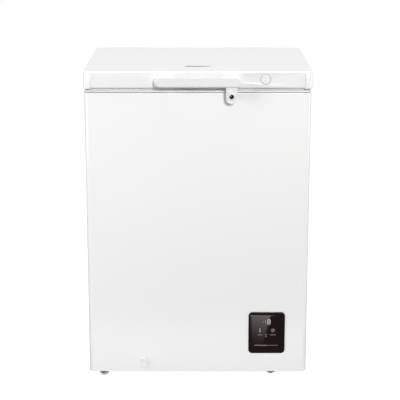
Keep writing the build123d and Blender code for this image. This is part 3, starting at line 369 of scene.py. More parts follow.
def lathe(name, profile, origin, axis="Z", sides=48, angle=32, ring=False):
    """A turned piece. profile holds (radius, distance along the axis) from origin. A ring's profile closes on
    itself round the hole."""
    u, v, w = AXES[axis]
    rings = []
    for radius, along in profile:
        turned = []
        for i in range(sides):
            a = 2 * math.pi * i / sides
            p = list(origin)
            p[u] += radius * math.cos(a)
            p[v] += radius * math.sin(a)
            p[w] += along
            turned.append(tuple(p))
        rings.append(turned)
    return skin(name, rings, closed=ring, angle=angle)


def block(name, x0, x1, y0, y1, z0, z1):
    points = [(x, y, z) for x in (x0, x1) for y in (y0, y1) for z in (z0, z1)]
    faces = [(0, 1, 3, 2), (4, 6, 7, 5), (0, 4, 5, 1), (2, 3, 7, 6), (0, 2, 6, 4), (1, 5, 7, 3)]
    return new_mesh(name, points, faces)


def apply_modifiers(obj):
    bpy.context.view_layer.update()
    shown = obj.evaluated_get(bpy.context.evaluated_depsgraph_get())
    mesh = bpy.data.meshes.new_from_object(shown)
    obj.modifiers.clear()
    obj.data = mesh
    return obj


def combine(obj, tool, operation="DIFFERENCE"):
    """Boolean of two meshes. The tool is used up."""
    modifier = obj.modifiers.new("combine", "BOOLEAN")
    modifier.operation = operation
    modifier.solver = "EXACT"
    modifier.object = tool
    apply_modifiers(obj)
    bpy.data.objects.remove(tool)
    return smooth(obj)


def soften(obj, width, segments=3, limit=32):
    """Rounds every edge sharper than limit."""
    modifier = obj.modifiers.new("soften", "BEVEL")
    modifier.width = width * MM
    modifier.segments = segments
    modifier.limit_method = "ANGLE"
    modifier.angle_limit = math.radians(limit)
    modifier.miter_outer = "MITER_ARC"
    apply_modifiers(obj)
    return smooth(obj, 40)


def joined(name, pieces):
    """One object from several meshes."""
    work = bmesh.new()
    for piece in pieces:
        piece.data.transform(piece.matrix_world)
        work.from_mesh(piece.data)
        bpy.data.objects.remove(piece)
    mesh = bpy.data.meshes.new(name)
    work.to_mesh(mesh)
    work.free()
    obj = bpy.data.objects.new(name, mesh)
    scene.collection.objects.link(obj)
    return smooth(obj)


def wires(name, lines, radius, resolution=4, closed=False):
    """Round wires along polylines, as one mesh. closed joins the ends of each line."""
    curve = bpy.data.curves.new(name, "CURVE")
    curve.dimensions = "3D"
    curve.bevel_depth = radius * MM
    curve.bevel_resolution = resolution
    curve.use_fill_caps = True
    for points in lines:
        spline = curve.splines.new("POLY")
        spline.points.add(len(points) - 1)
        for point, p in zip(spline.points, points):
            point.co = (p[0] * MM, p[1] * MM, p[2] * MM, 1)
        spline.use_cyclic_u = closed
        spline.use_smooth = True
    drawn = bpy.data.objects.new(name, curve)
    scene.collection.objects.link(drawn)
    bpy.context.view_layer.update()
    mesh = bpy.data.meshes.new_from_object(drawn.evaluated_get(bpy.context.evaluated_depsgraph_get()))
    bpy.data.objects.remove(drawn)
    obj = bpy.data.objects.new(name, mesh)
    scene.collection.objects.link(obj)
    return smooth(obj, 60)


def show(obj, node, material=None, hides=True):
    """Puts a piece on its CAD node's body, in that node's finish, in place of the node."""
    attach(obj, BODY_OF[node])
    if hides:
        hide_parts(node)
    obj.data.materials.clear()
    obj.data.materials.append(material or MATERIALS[SLOT_OF[node]])
    return obj


for node_name, node_object in nodes.items():
    node_object.data.materials.clear()
    node_object.data.materials.append(MATERIALS[SLOT_OF[node_name]])


# ------------------------------------------------------------------ cabinet
def sheet_lip(z_low, z_high, turn=3.0, lip=5.0):
    """Profile of the wall sheet, with a soft lower edge and its top turned in: (inset, z)."""
    low = [(SHEET, z_low + 0.4), (SHEET * 0.8, z_low + 0.1), (SHEET / 2, z_low), (SHEET * 0.2, z_low + 0.1),
           (0, z_low + 0.4)]
    outer, inner = ([(turn - r * math.cos(a), z_high - turn + r * math.sin(a)) for a in quarter(6)]
                    for r in (turn, turn - SHEET))
    return low + outer + [(lip, z_high), (lip, z_high - SHEET)] + inner[::-1]


def casing():
    """Front and sides in one sheet, bent round the front corners."""
    rings = []
    for inset, z in sheet_lip(CZ0, CZ1 + 0.05):
        r, hx, y0 = BODY_CORNER - inset, HALF_X - inset, CY0 + inset
        bend = [(hx - r + r * math.sin(a), y0 + r - r * math.cos(a)) for a in quarter(12)]
        right = bend + [(hx, MID_Y), (hx, CY1)]
        left = [(-x, y) for x, y in reversed(right)]
        rings.append([(x, y, z) for x, y in left + right])
    show(skin("casing_sheet", rings, loop=False, closed=True), "outer_casing")


def rim():
    """Plastic frame on top of the walls, down to the ledge for the basket, with a near-black strip in its
    seam that paints the seam's shadow.
    """
    mouth = 244.0, 183.0, 44.0
    ledge, seam = RIM_LOW + 3, 1.4
    outside = [(2, CZ1), (2, CZ1 + seam), (0.3, CZ1 + seam), (0, CZ1 + seam + 0.3)] + arc_in(3, RIM_TOP, 5)
    inside = [(2 * math.sin(a) - 2, RIM_TOP - 2 + 2 * math.cos(a)) for a in quarter(6)]
    inside += [(1.5 - 1.5 * math.cos(a), ledge + 1.5 - 1.5 * math.sin(a)) for a in quarter(3)]
    lip = [(math.sin(a) - 1, ledge - 1 + math.cos(a)) for a in quarter(3)] + [(0, RIM_LOW)]
    rings = stacked(HALF_X, HALF_Y, BODY_CORNER, outside) + stacked(*mouth, inside) + stacked(*TUB, lip)
    rings += stacked(*mouth, [(-2, RIM_LOW), (-2, CZ1)])
    show(skin("rim_frame_moulding", rings, closed=True), "rim_frame")
    # Near-black strip in the seam: painted shadow of the gap between rim and casing.
    strip = [(0.7, 0.1), (0.55, 0.3), (0.55, seam - 0.3), (0.7, seam - 0.1), (1.9, seam - 0.1), (1.9, 0.1)]
    rings = stacked(HALF_X, HALF_Y, BODY_CORNER, [(i, CZ1 + rise) for i, rise in strip])
    show(skin("rim_seam_painted_shadow", rings, closed=True), "rim_frame", PAINTED_SHADE, hides=False)


def liner():
    """Inside of the tub, with soft floor edges and the step over the compressor."""
    (_, _, z0), (_, _, z1) = limits("inner_liner")
    half_x, half_y, _ = TUB
    floor_z, above, beyond, soft = z0 + 1, z1 + 40, 9, 14
    step_x, step_z, step_corner = 80.0, 290.0, 20.0
    tub = soften(skin("tub_surface", stacked(*TUB, [(0, step_z), (0, above)])), soft, 6)
    deep = (half_x + step_x) / 2, half_y, step_corner
    lower = skin("lower", stacked(*deep, [(0, floor_z), (0, above)], x=(step_x - half_x) / 2))
    combine(lower, skin("keep", stacked(*TUB, [(0, floor_z - beyond), (0, above + beyond)])), "INTERSECT")
    combine(tub, soften(lower, soft, 6), "UNION")
    reach_x, reach_y = half_x + 2 * beyond, half_y + 2 * beyond
    combine(tub, block("mouth", -reach_x, reach_x, MID_Y - reach_y, MID_Y + reach_y, z1, above + beyond))
    work = bmesh.new()
    work.from_mesh(tub.data)
    top = [f for f in work.faces if f.calc_center_median().z > (z1 - 0.01) * MM]
    bmesh.ops.delete(work, geom=top, context="FACES")
    work.to_mesh(tub.data)
    work.free()
    modifier = tub.modifiers.new("sheet", "SOLIDIFY")
    modifier.thickness = 0.9 * MM
    modifier.offset = 1.0
    apply_modifiers(tub)
    show(smooth(tub, 40), "inner_liner")


def back_sheet():
    """Back of the cabinet, with pressed beads that stiffen it."""
    (x0, y0, z0), (x1, y1, z1) = limits("back_panel")
    sheet = block("back_sheet_metal", x0, x1, y0, y1, z0, z1)
    (vx0, _, vz0), (vx1, _, vz1) = limits("rear_vent_cover")
    combine(sheet, block("hole", vx0 + 11, vx1 - 11, y0 - 5, y1 + 5, vz0 + 6, vz1 - 6))
    show(sheet, "back_panel")
    beads = []
    for z in (330, 430, 530, 630):
        profile = [(0, 0), (0.8, 0.35), (2.2, 0.7), (4.5, 0.8)]
        beads.append(plate("bead", 0, z, 480, 14, 7, y1, profile, face=1))
    show(joined("back_sheet_beads", beads), "back_panel", hides=False)


def screw(name, x, z, y, face, radius=4.0, height=2.2):
    """Pan head with a cross recess, seen along Y."""
    profile = [(radius - 0.3, 0), (radius, 0.3), (radius, 0.7), (radius * 0.92, height * 0.7),
               (radius * 0.7, height * 0.92), (radius * 0.35, height)]
    head = lathe(name, [(r, face * h) for r, h in profile], (x, y, z), "Y", 28)
    depth = sorted((y + face * 0.8, y + face * 4))
    for w, h in ((radius * 0.55, 0.45), (0.45, radius * 0.55)):
        combine(head, block("slot", x - w, x + w, *depth, z - h, z + h))
    return smooth(head)


def solid_boxes(node):
    """Box of each separate solid of a CAD node, in millimetres."""
    work = bmesh.new()
    work.from_mesh(nodes[node].data)
    bmesh.ops.remove_doubles(work, verts=work.verts, dist=1e-6)
    work.verts.ensure_lookup_table()
    seen, found = set(), []
    for vert in work.verts:
        if vert.index in seen:
            continue
        seen.add(vert.index)
        stack, members = [vert], []
        while stack:
            v = stack.pop()
            members.append(v.co / MM)
            for edge in v.link_edges:
                other = edge.other_vert(v)
                if other.index not in seen:
                    seen.add(other.index)
                    stack.append(other)
        low = [min(c[k] for c in members) for k in range(3)]
        high = [max(c[k] for c in members) for k in range(3)]
        found.append((low, high))
    work.free()
    return found


def middle(box):
    return [(a + b) / 2 for a, b in zip(*box)]


def back_screws(node, name):
    heads = []
    for box in solid_boxes(node):
        x, _, z = middle(box)
        y = box[1][1]
        heads.append(screw("head", x, z, y - 2.4, 1, (box[1][0] - box[0][0]) / 2 - 0.05, 2.3))
    show(joined(name, heads), node)


# ------------------------------------------------------------------ lid
def around_corner(name, sx, sy, inset, z0, z1):
    """A block round one corner of the lid, from inset inside its faces to well outside them."""
    xs = sorted((sx * (LID_HALF_X - inset), sx * (LID_HALF_X + 9)))
    ys = sorted((MID_Y + sy * (LID_HALF_Y - inset), MID_Y + sy * (LID_HALF_Y + 9)))
    return block(name, *xs, *ys, z0, z1)


def lid_cover():
    """Painted tray, its skirt cut away for the corner pieces, with a round hole for the blank."""
    outline = LID_HALF_X, LID_HALF_Y, LID_CORNER
    outside = [(SHEET, LZ0 + 0.6), (0.65, LZ0 + 0.15), (0.4, LZ0), (0.15, LZ0 + 0.15), (0, LZ0 + 0.6)]
    outside += arc_in(3, LZ1, 6) + [(6, LZ1), (60, LZ1), (200, LZ1)]
    inside = [(SHEET, LZ0 - 5)] + [(SHEET + i, z) for i, z in arc_in(2.2, LZ1 - SHEET, 5)]
    inside += [(60, LZ1 - SHEET), (200, LZ1 - SHEET)]
    cover = skin("lid_sheet", stacked(*outline, outside))
    combine(cover, skin("hollow", stacked(*outline, inside)))
    _, (_, _, corner_top) = limits("lid_corner_front_left")
    for sx in (-1, 1):
        for sy in (-1, 1):
            combine(cover, around_corner("notch", sx, sy, 20, LZ0 - 9, corner_top + 0.2))
    x, _, z = middle(limits("lock_cap"))
    combine(cover, lathe("hole", [(13.6, -6), (13.6, 6)], (x, LY0, z), "Y", 64))
    soften(cover, 0.3, 2)
    show(smooth(cover, 30), "lid_cover")


def lid_corner(name, sx, sy):
    """Moulded corner with soft lips, a little longer than the skirt."""
    (_, _, low), (_, _, top) = limits(name)
    profile = [(2.2, low + 0.5), (1.9, low), (1.2, low)]
    profile += [(1.6 - 1.6 * math.sin(a), low + 1.6 - 1.6 * math.cos(a)) for a in quarter(6)[1:]]
    profile += [(0, top - 0.5), (0.15, top - 0.15), (0.5, top), (2.2, top)]
    piece = skin(name + "_cap", stacked(LID_HALF_X, LID_HALF_Y, LID_CORNER, profile, 12), closed=True)
    combine(piece, around_corner("keep", sx, sy, 19.5, low - 9, top + 9), "INTERSECT")
    soften(piece, 0.35, 2)
    show(piece, name)


def lid_panel():
    """Inner panel: flat border, plug with soft edges and a shallow pressed field."""
    (_, _, low), (_, _, top) = limits("lid_inner_panel")
    border, plug = top - 1.5, (229.0, 168.0, 36.5)
    rings = stacked(LID_HALF_X - 2.5, LID_HALF_Y - 2.5, 8, [(0, top), (0, border + 0.4), (0.4, border)])
    side = [(2.5 * math.sin(a) - 2.5, border - 2.5 + 2.5 * math.cos(a)) for a in quarter(4)]
    side += [(4 - 4 * math.cos(a), low + 4 - 4 * math.sin(a)) for a in quarter(5)]
    rings += stacked(*plug, side)
    field = ((34, 0), (35, 0.15), (37, 0.7), (39, 1.0), (41, 1.1), (120, 1.1))
    rings += [level_ring(plug[0] - i, plug[1] - i, 12, low + rise) for i, rise in field]
    show(skin("lid_liner", rings, angle=40), "lid_inner_panel")


def gasket():
    """Bellows seal: a foot, one full bulge and a waist up to the lid."""
    (_, y0, low), (half_x, y1, top) = limits("lid_gasket")
    outer = [(6.4, 0), (3.4, 0), (3.05, 0.3), (3.0, 0.9), (3.0, 1.3), (2.4, 1.75), (1.0, 1.95), (0.3, 2.4),
             (0, 3.2), (0.3, 4.0), (1.0, 4.45), (2.4, 4.65), (3.0, 5.1), (3.0, top - low)]
    inner = [(12.0, top - low), (12.0, 5.1), (12.2, 4.7), (12.7, 4.3), (13, 3.7), (13, 2.6), (12.6, 2.0),
             (12.1, 1.7), (12.0, 1.2), (12.0, 0.4), (11.6, 0), (8.6, 0), (8.2, 0.3), (6.8, 0.3)]
    rings = stacked(half_x, (y1 - y0) / 2, 20, [(i, low + rise) for i, rise in outer + inner], 12)
    show(skin("door_seal", rings, closed=True, angle=25), "lid_gasket")


def handle():
    """Bar on two posts, hollow behind both ends, with a scoop along its top and a slit for the hasp."""
    (x0, y0, z0), (x1, y1, z1) = limits("handle")
    (slit_x0, slit_y0, slit_z0), (slit_x1, slit_y1, slit_z1) = limits("lock_hasp")
    z, height, gap_x, bar_depth = (z0 + z1) / 2, z1 - z0, 0.5, 13
    face = [(0, 0)] + arc_in(5, y1 - y0, 7) + [(6.5, y1 - y0), (10, y1 - y0)]
    body = plate("handle_grip", (x0 + x1) / 2, z, x1 - x0, height, height / 2 - 0.05, y1, face, 14)
    gap = stacked(67.5, 30, 9, [(0, z0 - 5), (0, z1 + 5)], 10, gap_x, y0 + bar_depth + 30)
    combine(body, skin("gap", gap))
    combine(body, plate("scoop", gap_x, z1 - 3 + 20, 123, 40, 2.9, y1 + 4, [(0, 0), (0, 50)], 8))
    for low, high in ((x0 + 6, -71), (72, x1 - 6)):
        depth = [(0, -40), (0, 0)]
        combine(body, plate("pocket", (low + high) / 2, z, high - low, height - 8, 5, y0 + 9, depth, 6))
    combine(body, block("slit", slit_x0 - 0.1, slit_x1 + 0.1, slit_y0 - 0.1, slit_y1 + 0.1, slit_z0, slit_z1))
    soften(body, 0.9, 3, 38)
    show(body, "handle")


def hasp():
    """Tongue with a raised border and a raised ring round the padlock hole."""
    (x0, y0, z0), (x1, y1, z1) = limits("lock_hasp")
    x, half = (x0 + x1) / 2, (x1 - x0) / 2
    arc_z = z0 + half
    hole_z = arc_z + 3.5

    def outline(inset, y):
        r = half - inset
        turns = [math.radians(180 + 7.5 * i) for i in range(25)]
        points = [(x + r * math.cos(a), y, arc_z + r * math.sin(a)) for a in turns]
        return points + [(x + r, y, z1 - inset), (x - r, y, z1 - inset)]

    border = [(0, 0.9), (0.1, 0.5), (0.4, 0.12), (0.9, 0), (2.6, 0), (3.0, 0.15), (3.3, 0.6), (3.5, 1.15),
              (3.8, 1.3), (6, 1.3)]
    body = skin("hasp_tongue", [outline(0, y1)] + [outline(i, y0 + depth) for i, depth in border])
    boss = [(9.9, 1.4), (9.5, 1.25), (9.2, 0.5), (8.8, 0.1), (8.3, 0.0), (5, 0.0)]
    combine(body, lathe("boss", boss, (x, y0, hole_z), "Y"), "UNION")
    combine(body, lathe("hole", [(PADLOCK_R, -3), (PADLOCK_R, 12)], (x, y0, hole_z), "Y"))
    show(smooth(body, 30), "lock_hasp")


def lock_cap():
    """Round blank, just below the skirt's face, with a soft edge, in a near-black well that paints the shade
    of the gap round it.
    """
    (x0, y0, z0), (x1, _, z1) = limits("lock_cap")
    x, z = (x0 + x1) / 2, (z0 + z1) / 2
    profile = [(12.2, 2.1), (12.75, 1.9), (12.8, 0.9), (12.6, 0.4), (12.1, 0.08), (11.4, 0.0), (6, 0.0)]
    show(lathe("lock_blank", profile, (x, y0 + 0.6, z), "Y", 72), "lock_cap")
    # The near-black well is painted shade, standing in for the shadow in the groove round the blank.
    well = [(14.4, 1.0), (14.4, 2.4), (2, 2.4)]
    show(lathe("lock_painted_shade_well", well, (x, y0 + 1.4, z), "Y", 64), "lock_cap", PAINTED_SHADE)


def badge():
    """Plain satin plate, raised at its border."""
    (x0, y0, z0), (x1, y1, z1) = limits("badge")
    half = (y1 - y0) / 2
    profile = [(0, z0), (0, z0 + 0.3), (0.25, z0 + 0.65), (0.8, z1), (2.2, z1), (2.5, z1 - 0.15),
               (4, z1 - 0.2)]
    rings = stacked((x1 - x0) / 2, half, half, profile, y=(y0 + y1) / 2)
    show(skin("plain_badge", rings), "badge", BADGE)


# ------------------------------------------------------------------ padlock bracket
def bracket():
    """Bent plate: a base on the casing, a web at one side and an eye in line with the hasp's hole."""
    (x0, y0, z0), (x1, y1, z1) = limits("padlock_bracket")
    x, half, web, eye_thick, top = (x0 + x1) / 2, (x1 - x0) / 2, 4.0, 4, CZ1 - 2
    hole_z = z1 - half
    body = block("padlock_bracket_plate", x0, x1, y1 - 3, y1, z0, top)
    combine(body, block("web", x1 - web, x1, y0, y1 - 0.5, hole_z - half, top), "UNION")
    eye = block("eye", x, x1, y0, y0 + eye_thick, hole_z - half, top)
    combine(eye, lathe("round", [(half, 0), (half, eye_thick)], (x, y0, hole_z), "Y"), "UNION")
    combine(body, eye, "UNION")
    combine(body, lathe("hole", [(PADLOCK_R, -3), (PADLOCK_R, 7)], (x, y0, hole_z), "Y"))
    soften(body, 0.7, 3)
    show(body, "padlock_bracket")
    heads = []
    for box in solid_boxes("bracket_rivets"):
        mx, _, mz = middle(box)
        profile = [(3.9, 0), (3.8, -0.5), (3.2, -1.3), (2.2, -1.9), (1.0, -2.2)]
        heads.append(lathe("rivet", profile, (mx, box[0][1] + 2.4, mz), "Y", 32))
    show(joined("bracket_rivet_heads", heads), "bracket_rivets")


# ------------------------------------------------------------------ control panel
def control_panel():
    (x0, _, z0), (x1, y1, z1) = limits("control_bezel")
    (gx0, gy0, gz0), (gx1, _, gz1) = limits("control_glass")
    x, z, w, h = (x0 + x1) / 2, (z0 + z1) / 2, x1 - x0, z1 - z0
    frame_profile = [(0, 0), (0, 0.9), (0.15, 1.5), (0.55, 2.1), (1.1, 2.45), (1.7, 2.6), (2.2, 2.55),
                     (2.4, 2.2), (2.4, 0.2), (2.4, 0)]
    rings = []
    for inset, rise in frame_profile:
        outline = rounded(w / 2 - inset, h / 2 - inset, 11 - inset, 12)
        rings.append([(x + u, y1 - rise, z + v) for u, v in outline])
    show(skin("panel_bezel", rings, closed=True), "control_bezel")
    top = y1 - gy0
    profile = [(0.1, 0.9), (0.1, top - 0.5), (0.2, top - 0.25), (0.5, top - 0.07), (1.0, top), (8, top),
               (30, top)]
    glass = plate("panel_glass", x, z, gx1 - gx0, gz1 - gz0, 8.6, y1, profile, 14)
    show(smooth(glass, 40), "control_glass")
    figures(x, z, gy0)
    marks(x, z, gy0)
    return glass


def flat_mark(name, points, y, height=0.22):
    """A thin raised print from an outline in X and Z."""
    rings = [[(px, y, pz) for px, pz in points], [(px, y - height, pz) for px, pz in points]]
    return skin(name, rings)


def bar(name, x, z, width, height, y, corner=None):
    corner = min(width, height) / 2 - 0.02 if corner is None else corner
    outline = rounded(width / 2, height / 2, corner, 6)
    return flat_mark(name, [(x + u, z + v) for u, v in outline], y)


SEGMENTS = {"a": (0, 1, 1), "g": (0, 0, 1), "d": (0, -1, 1), "f": (-1, 0.5, 0), "b": (1, 0.5, 0),
            "e": (-1, -0.5, 0), "c": (1, -0.5, 0)}


def digit(x, z, lit_segments, y, w=8.6, h=16.0, t=1.9):
    """Seven-segment figure of bevelled bars."""
    made = []
    for key in lit_segments:
        sx, sz, level = SEGMENTS[key]
        cx, cz = x + sx * (w - t) / 2, z + sz * (h - t) / 2
        length = (w - t if level else (h - t) / 2) - 0.35
        half, mid = length / 2, t / 2
        flat = half - mid
        shape = [(-half, 0), (-flat, mid), (flat, mid), (half, 0), (flat, -mid), (-flat, -mid)]
        if not level:
            shape = [(v, u) for u, v in shape]
        made.append(flat_mark("segment", [(cx + u, cz + v) for u, v in shape], y))
    return made


def figures(x, z, y):
    """Set temperature: minus eighteen."""
    bright = digit(x + 6.2, z + 32, "abcdefg", y, 7.6, 13.6, 1.1)
    show(joined("display_eight", bright), "display_digits")
    dim = digit(x - 4.8, z + 32, "bc", y, 4.0, 11.0, 1.3) + digit(x - 9.6, z + 32, "g", y, 5.0, 11.0, 1.3)
    show(joined("display_minus_one", dim), "display_digits", DIM_FIGURE)


def slanted(name, x, z, half_length, half_width, corner, angle, y):
    """A printed bar about (x, z), turned by angle."""
    c, s = math.cos(angle), math.sin(angle)
    outline = rounded(half_length, half_width, corner, 3)
    return flat_mark(name, [(x + u * c - v * s, z + u * s + v * c) for u, v in outline], y)


def marks(x, z, y):
    """Thermometer, snowflake with three branched arms, blank key lines and two dividers."""
    tx, fx, iz = x - 18.7, x + 17.3, z + 7.5
    pieces = [bar("stem", tx, iz + 2.0, 2.4, 10.5, y), bar("bulb", tx, iz - 3.6, 4.8, 4.8, y)]
    for turn in (math.radians(30 + 60 * k) for k in range(3)):
        for sign in (1, -1):
            c, s = sign * math.cos(turn), sign * math.sin(turn)
            pieces.append(slanted("arm", fx + 3.0 * c, iz + 3.0 * s, 2.7, 0.5, 0.45, turn, y))
            for a in (turn - math.radians(50), turn + math.radians(50)):
                branch_x = fx + 3.9 * c + 1.1 * sign * math.cos(a)
                branch_z = iz + 3.9 * s + 1.1 * sign * math.sin(a)
                pieces.append(slanted("branch", branch_x, branch_z, 1.0, 0.35, 0.3, a, y))
    key_lines = ((-18.7, -5.5, 13, 1.3), (17.3, -5.5, 16, 1.3), (-1.2, -5.5, 5, 1.5), (-1.2, -10.6, 3.8, 1.3))
    for dx, dz, w, h in key_lines:
        pieces.append(bar("key_line", x + dx, z + dz, w, h, y))
    for dx, w, h in ((-15.5, 35, 1.7), (17, 28, 0.8)):
        pieces.append(bar("divider", x + dx, z - 36, w, h, y))
    show(joined("panel_print", pieces), "panel_marks")


# ------------------------------------------------------------------ drain cap, rollers, feet
def drain_cap():
    (x0, y0, z0), (x1, _, z1) = limits("drain_cap")
    x, z = (x0 + x1) / 2, (z0 + z1) / 2
    back = CY0 - 0.3
    rise = back - y0
    body = plate("drain_cap_face", x, z, x1 - x0, z1 - z0, 9.9, back,
                 [(0.3, 0), (0, 0.3)] + arc_in(2.0, 5.0, 5) + [(3.2, 5.0), (3.6, 4.7), (6, 4.6)], 12)
    tab = plate("tab", x + 4, z + 8, 7.6, 13.6, 3.7, back - 3.5, arc_in(1.2, rise - 3.5, 4), 8)
    combine(body, tab, "UNION")
    show(smooth(body, 35), "drain_cap", DRAIN_PLASTIC)


def roller(node):
    """Wheel with a soft tread, side recess and hub."""
    (x0, y0, z0), (x1, y1, z1) = limits(node)
    x, y, z = middle(((x0, y0, z0), (x1, y1, z1)))
    r, half = (z1 - z0) / 2, (y1 - y0) / 2
    side = [(3.1, half - 0.4), (5.0, half - 0.2), (5.4, half - 0.8), (5.8, half - 2.2), (r - 4.8, half - 2.2),
            (r - 4.2, half - 1.0), (r - 3.8, half - 0.3), (r - 3.0, half)]
    tread = [(r - 1.5, half), (r - 0.5, half - 0.45), (r, half - 1.5), (r, 1.6), (r - 0.5, 1.2)]
    profile = side + tread
    profile = profile + [(a, -b) for a, b in reversed(profile)]
    show(lathe(node + "_tyre", profile, (x, y, z), "Y", 64, ring=True), node, WHEEL_PLASTIC)


def foot(node):
    """Narrow pad under a gripping disc, on its stud."""
    x, y, _ = middle(limits(node))
    _, (_, _, top) = limits(node)
    pad = [(5.5, 0), (6.7, 0.2), (7.0, 0.8), (8.5, 6.2), (9.4, 7.0)]
    disc = [(16.9, 7.0), (17.7, 7.4), (18.0, 8.0), (18.0, 9.1), (17.7, 9.7), (17.0, 10.0), (7.5, 10.0)]
    stud = [(4.8, 10.4), (4.0, 11.2), (4.0, 14.0), (3.55, 14.6), (3.55, top)]
    show(lathe(node + "_glide", pad + disc + stud, (x, y, 0), "Z", 64), node)


def roller_housings():
    """Cups with a flange under the bottom sheet and ears for the axle, and the two axles."""
    pieces = []
    for box in solid_boxes("roller_housings"):
        (x0, y0, z0), (x1, y1, z1) = box
        x, y = (x0 + x1) / 2, (y0 + y1) / 2
        low, top, half_y, ear = CZ0 - 1.5, CZ0 - 0.02, 13, 5
        flange = [(0.5, low), (0, low + 0.5), (0, top), (0.3, top)]
        body = skin("housing", stacked(26, 19, 6, flange, 8, x, y))
        combine(body, block("cup", x - 20, x + 20, y - half_y, y + half_y, CZ0 - 1, z1), "UNION")
        ears = block("ear", x - ear, x + ear, y - half_y, y + half_y, z0 + ear, CZ0)
        combine(ears, lathe("round", [(ear, -half_y), (ear, half_y)], (x, y, z0 + ear), "Y", 32), "UNION")
        combine(body, ears, "UNION")
        combine(body, block("hollow", x - 18, x + 18, y - 8.6, y + 8.6, 0, z1 - 2))
        pieces.append(soften(body, 0.4, 2))
    show(joined("roller_housing_cups", pieces), "roller_housings")
    axles = []
    for box in solid_boxes("roller_axles"):
        x, y, z = middle(box)
        half = (box[1][1] - box[0][1]) / 2
        end = [(3, half - 0.6), (2.5, half - 0.1), (1.0, half)]
        profile = [(r, -along) for r, along in reversed(end)] + end
        axles.append(lathe("axle", profile, (x, y, z), "Y", 32))
    show(joined("roller_axle_pins", axles), "roller_axles")


# ------------------------------------------------------------------ hinges
def prism_x(name, points, x0, x1):
    return skin(name, [[(x0, y, z) for y, z in points], [(x1, y, z) for y, z in points]])


def hinges():
    """Two hinges: base with two cheeks, leaf with a knuckle, headed pin and two coils each."""
    y, z = CY1 + 16, RIM_TOP        # the pins' axis
    pin_r, coil_r, coil_turns, coil_steps, coil_length = 4, 5.9, 4, 24, 10.4
    edge = [(0, 0)] + arc_in(0.8, 3)
    cheek_side = [(CY1, z - 66), (CY1, z - 11), (y - 8.6, z - 2), (y + 8.6, z - 3), (CY1 + 6, z - 66)]
    arm_side = [(LY1, z + 14), (LY1, z + 25), (LY1 + 3, z + 25), (y + 7.8, z + 1.6), (y - 6, z + 5)]
    pin_side = [(2.6, -28), (3.8, -27.7), (pin_r, -27.2), (pin_r, 28), (5.6, 28), (6, 28.4), (6, 29.6),
                (5.4, 30.2), (4, 30.5), (2, 30.5)]
    bases, leaves, pins, coils = [], [], [], []
    for x in (-185.0, 185.0):
        def turned(name, radius, start, end):
            return lathe(name, [(radius, start), (radius, end)], (x, y, z), "X", 40)

        base = plate("base", x, z - 40, 66, 62, 6, CY1, edge, face=1)
        for start, end in ((-28, -24), (24, 28)):
            cheek = prism_x("cheek", cheek_side, x + start, x + end)
            combine(cheek, turned("eye", 9, start, end), "UNION")
            combine(base, cheek, "UNION")
        combine(base, turned("bore", pin_r + 0.02, -40, 40))
        bases.append(soften(base, 0.6, 3))
        leaf = plate("leaf", x, z + 30, 42, 32, 5, LY1, edge, face=1)
        arm = prism_x("arm", arm_side, x - 10, x + 10)
        combine(arm, turned("knuckle", 8, -10, 10), "UNION")
        combine(leaf, arm, "UNION")
        combine(leaf, turned("bore", pin_r + 0.06, -40, 40))
        leaves.append(soften(leaf, 0.6, 3))
        pins.append(lathe("pin", pin_side, (x, y, z), "X", 40))
        for start in (11.8, -22.2):
            points = []
            for i in range(coil_turns * coil_steps + 1):
                a = 2 * math.pi * i / coil_steps
                along = start + coil_length * i / (coil_turns * coil_steps)
                points.append((x + along, y + coil_r * math.cos(a), z + coil_r * math.sin(a)))
            coils.append(points)
    show(joined("hinge_base_brackets", bases), "hinge_bases")
    show(joined("hinge_leaf_plates", leaves), "hinge_leaves")
    show(joined("hinge_pin_rods", pins), "hinge_pins")
    show(wires("hinge_coils", coils, 0.98), "hinge_springs")


def gland():
    """Bush with a grooved collar and a tapered mouth. The lead itself isn't shown."""
    (x0, y0, z0), (x1, y1, z1) = limits("cable_gland")
    x, z = (x0 + x1) / 2, (z0 + z1) / 2
    groove = [(12, -1.4), (11.6, -1.0), (9, -1.0), (9, 1.5), (11.6, 1.5), (12, 1.9)]
    cone = [(12, 4.6), (11.4, 5), (8.5, 5), (7.2, 5.6), (6.5, 7)]
    profile = [(3.6, y0), (11.6, y0), (12, y0 + 0.4)] + [(r, CY1 + along) for r, along in groove + cone]
    profile += [(6.0, y1 - 0.8), (5.4, y1), (4.2, y1), (3.6, y1 - 0.8)]
    show(lathe("cable_bush", profile, (x, 0, z), "Y", ring=True), "cable_gland")


# ------------------------------------------------------------------ basket
def bent(points, radius, steps=6):
    """A polyline with its inner corners rounded."""
    out = [points[0]]
    for before, corner, after in zip(points, points[1:], points[2:]):
        c = Vector(corner)
        u, v = (Vector(before) - c).normalized(), (Vector(after) - c).normalized()
        for i in range(steps + 1):
            t = i / steps
            out.append(tuple(c + u * radius * (1 - t) ** 2 + v * radius * t ** 2))
    return out + [points[-1]]


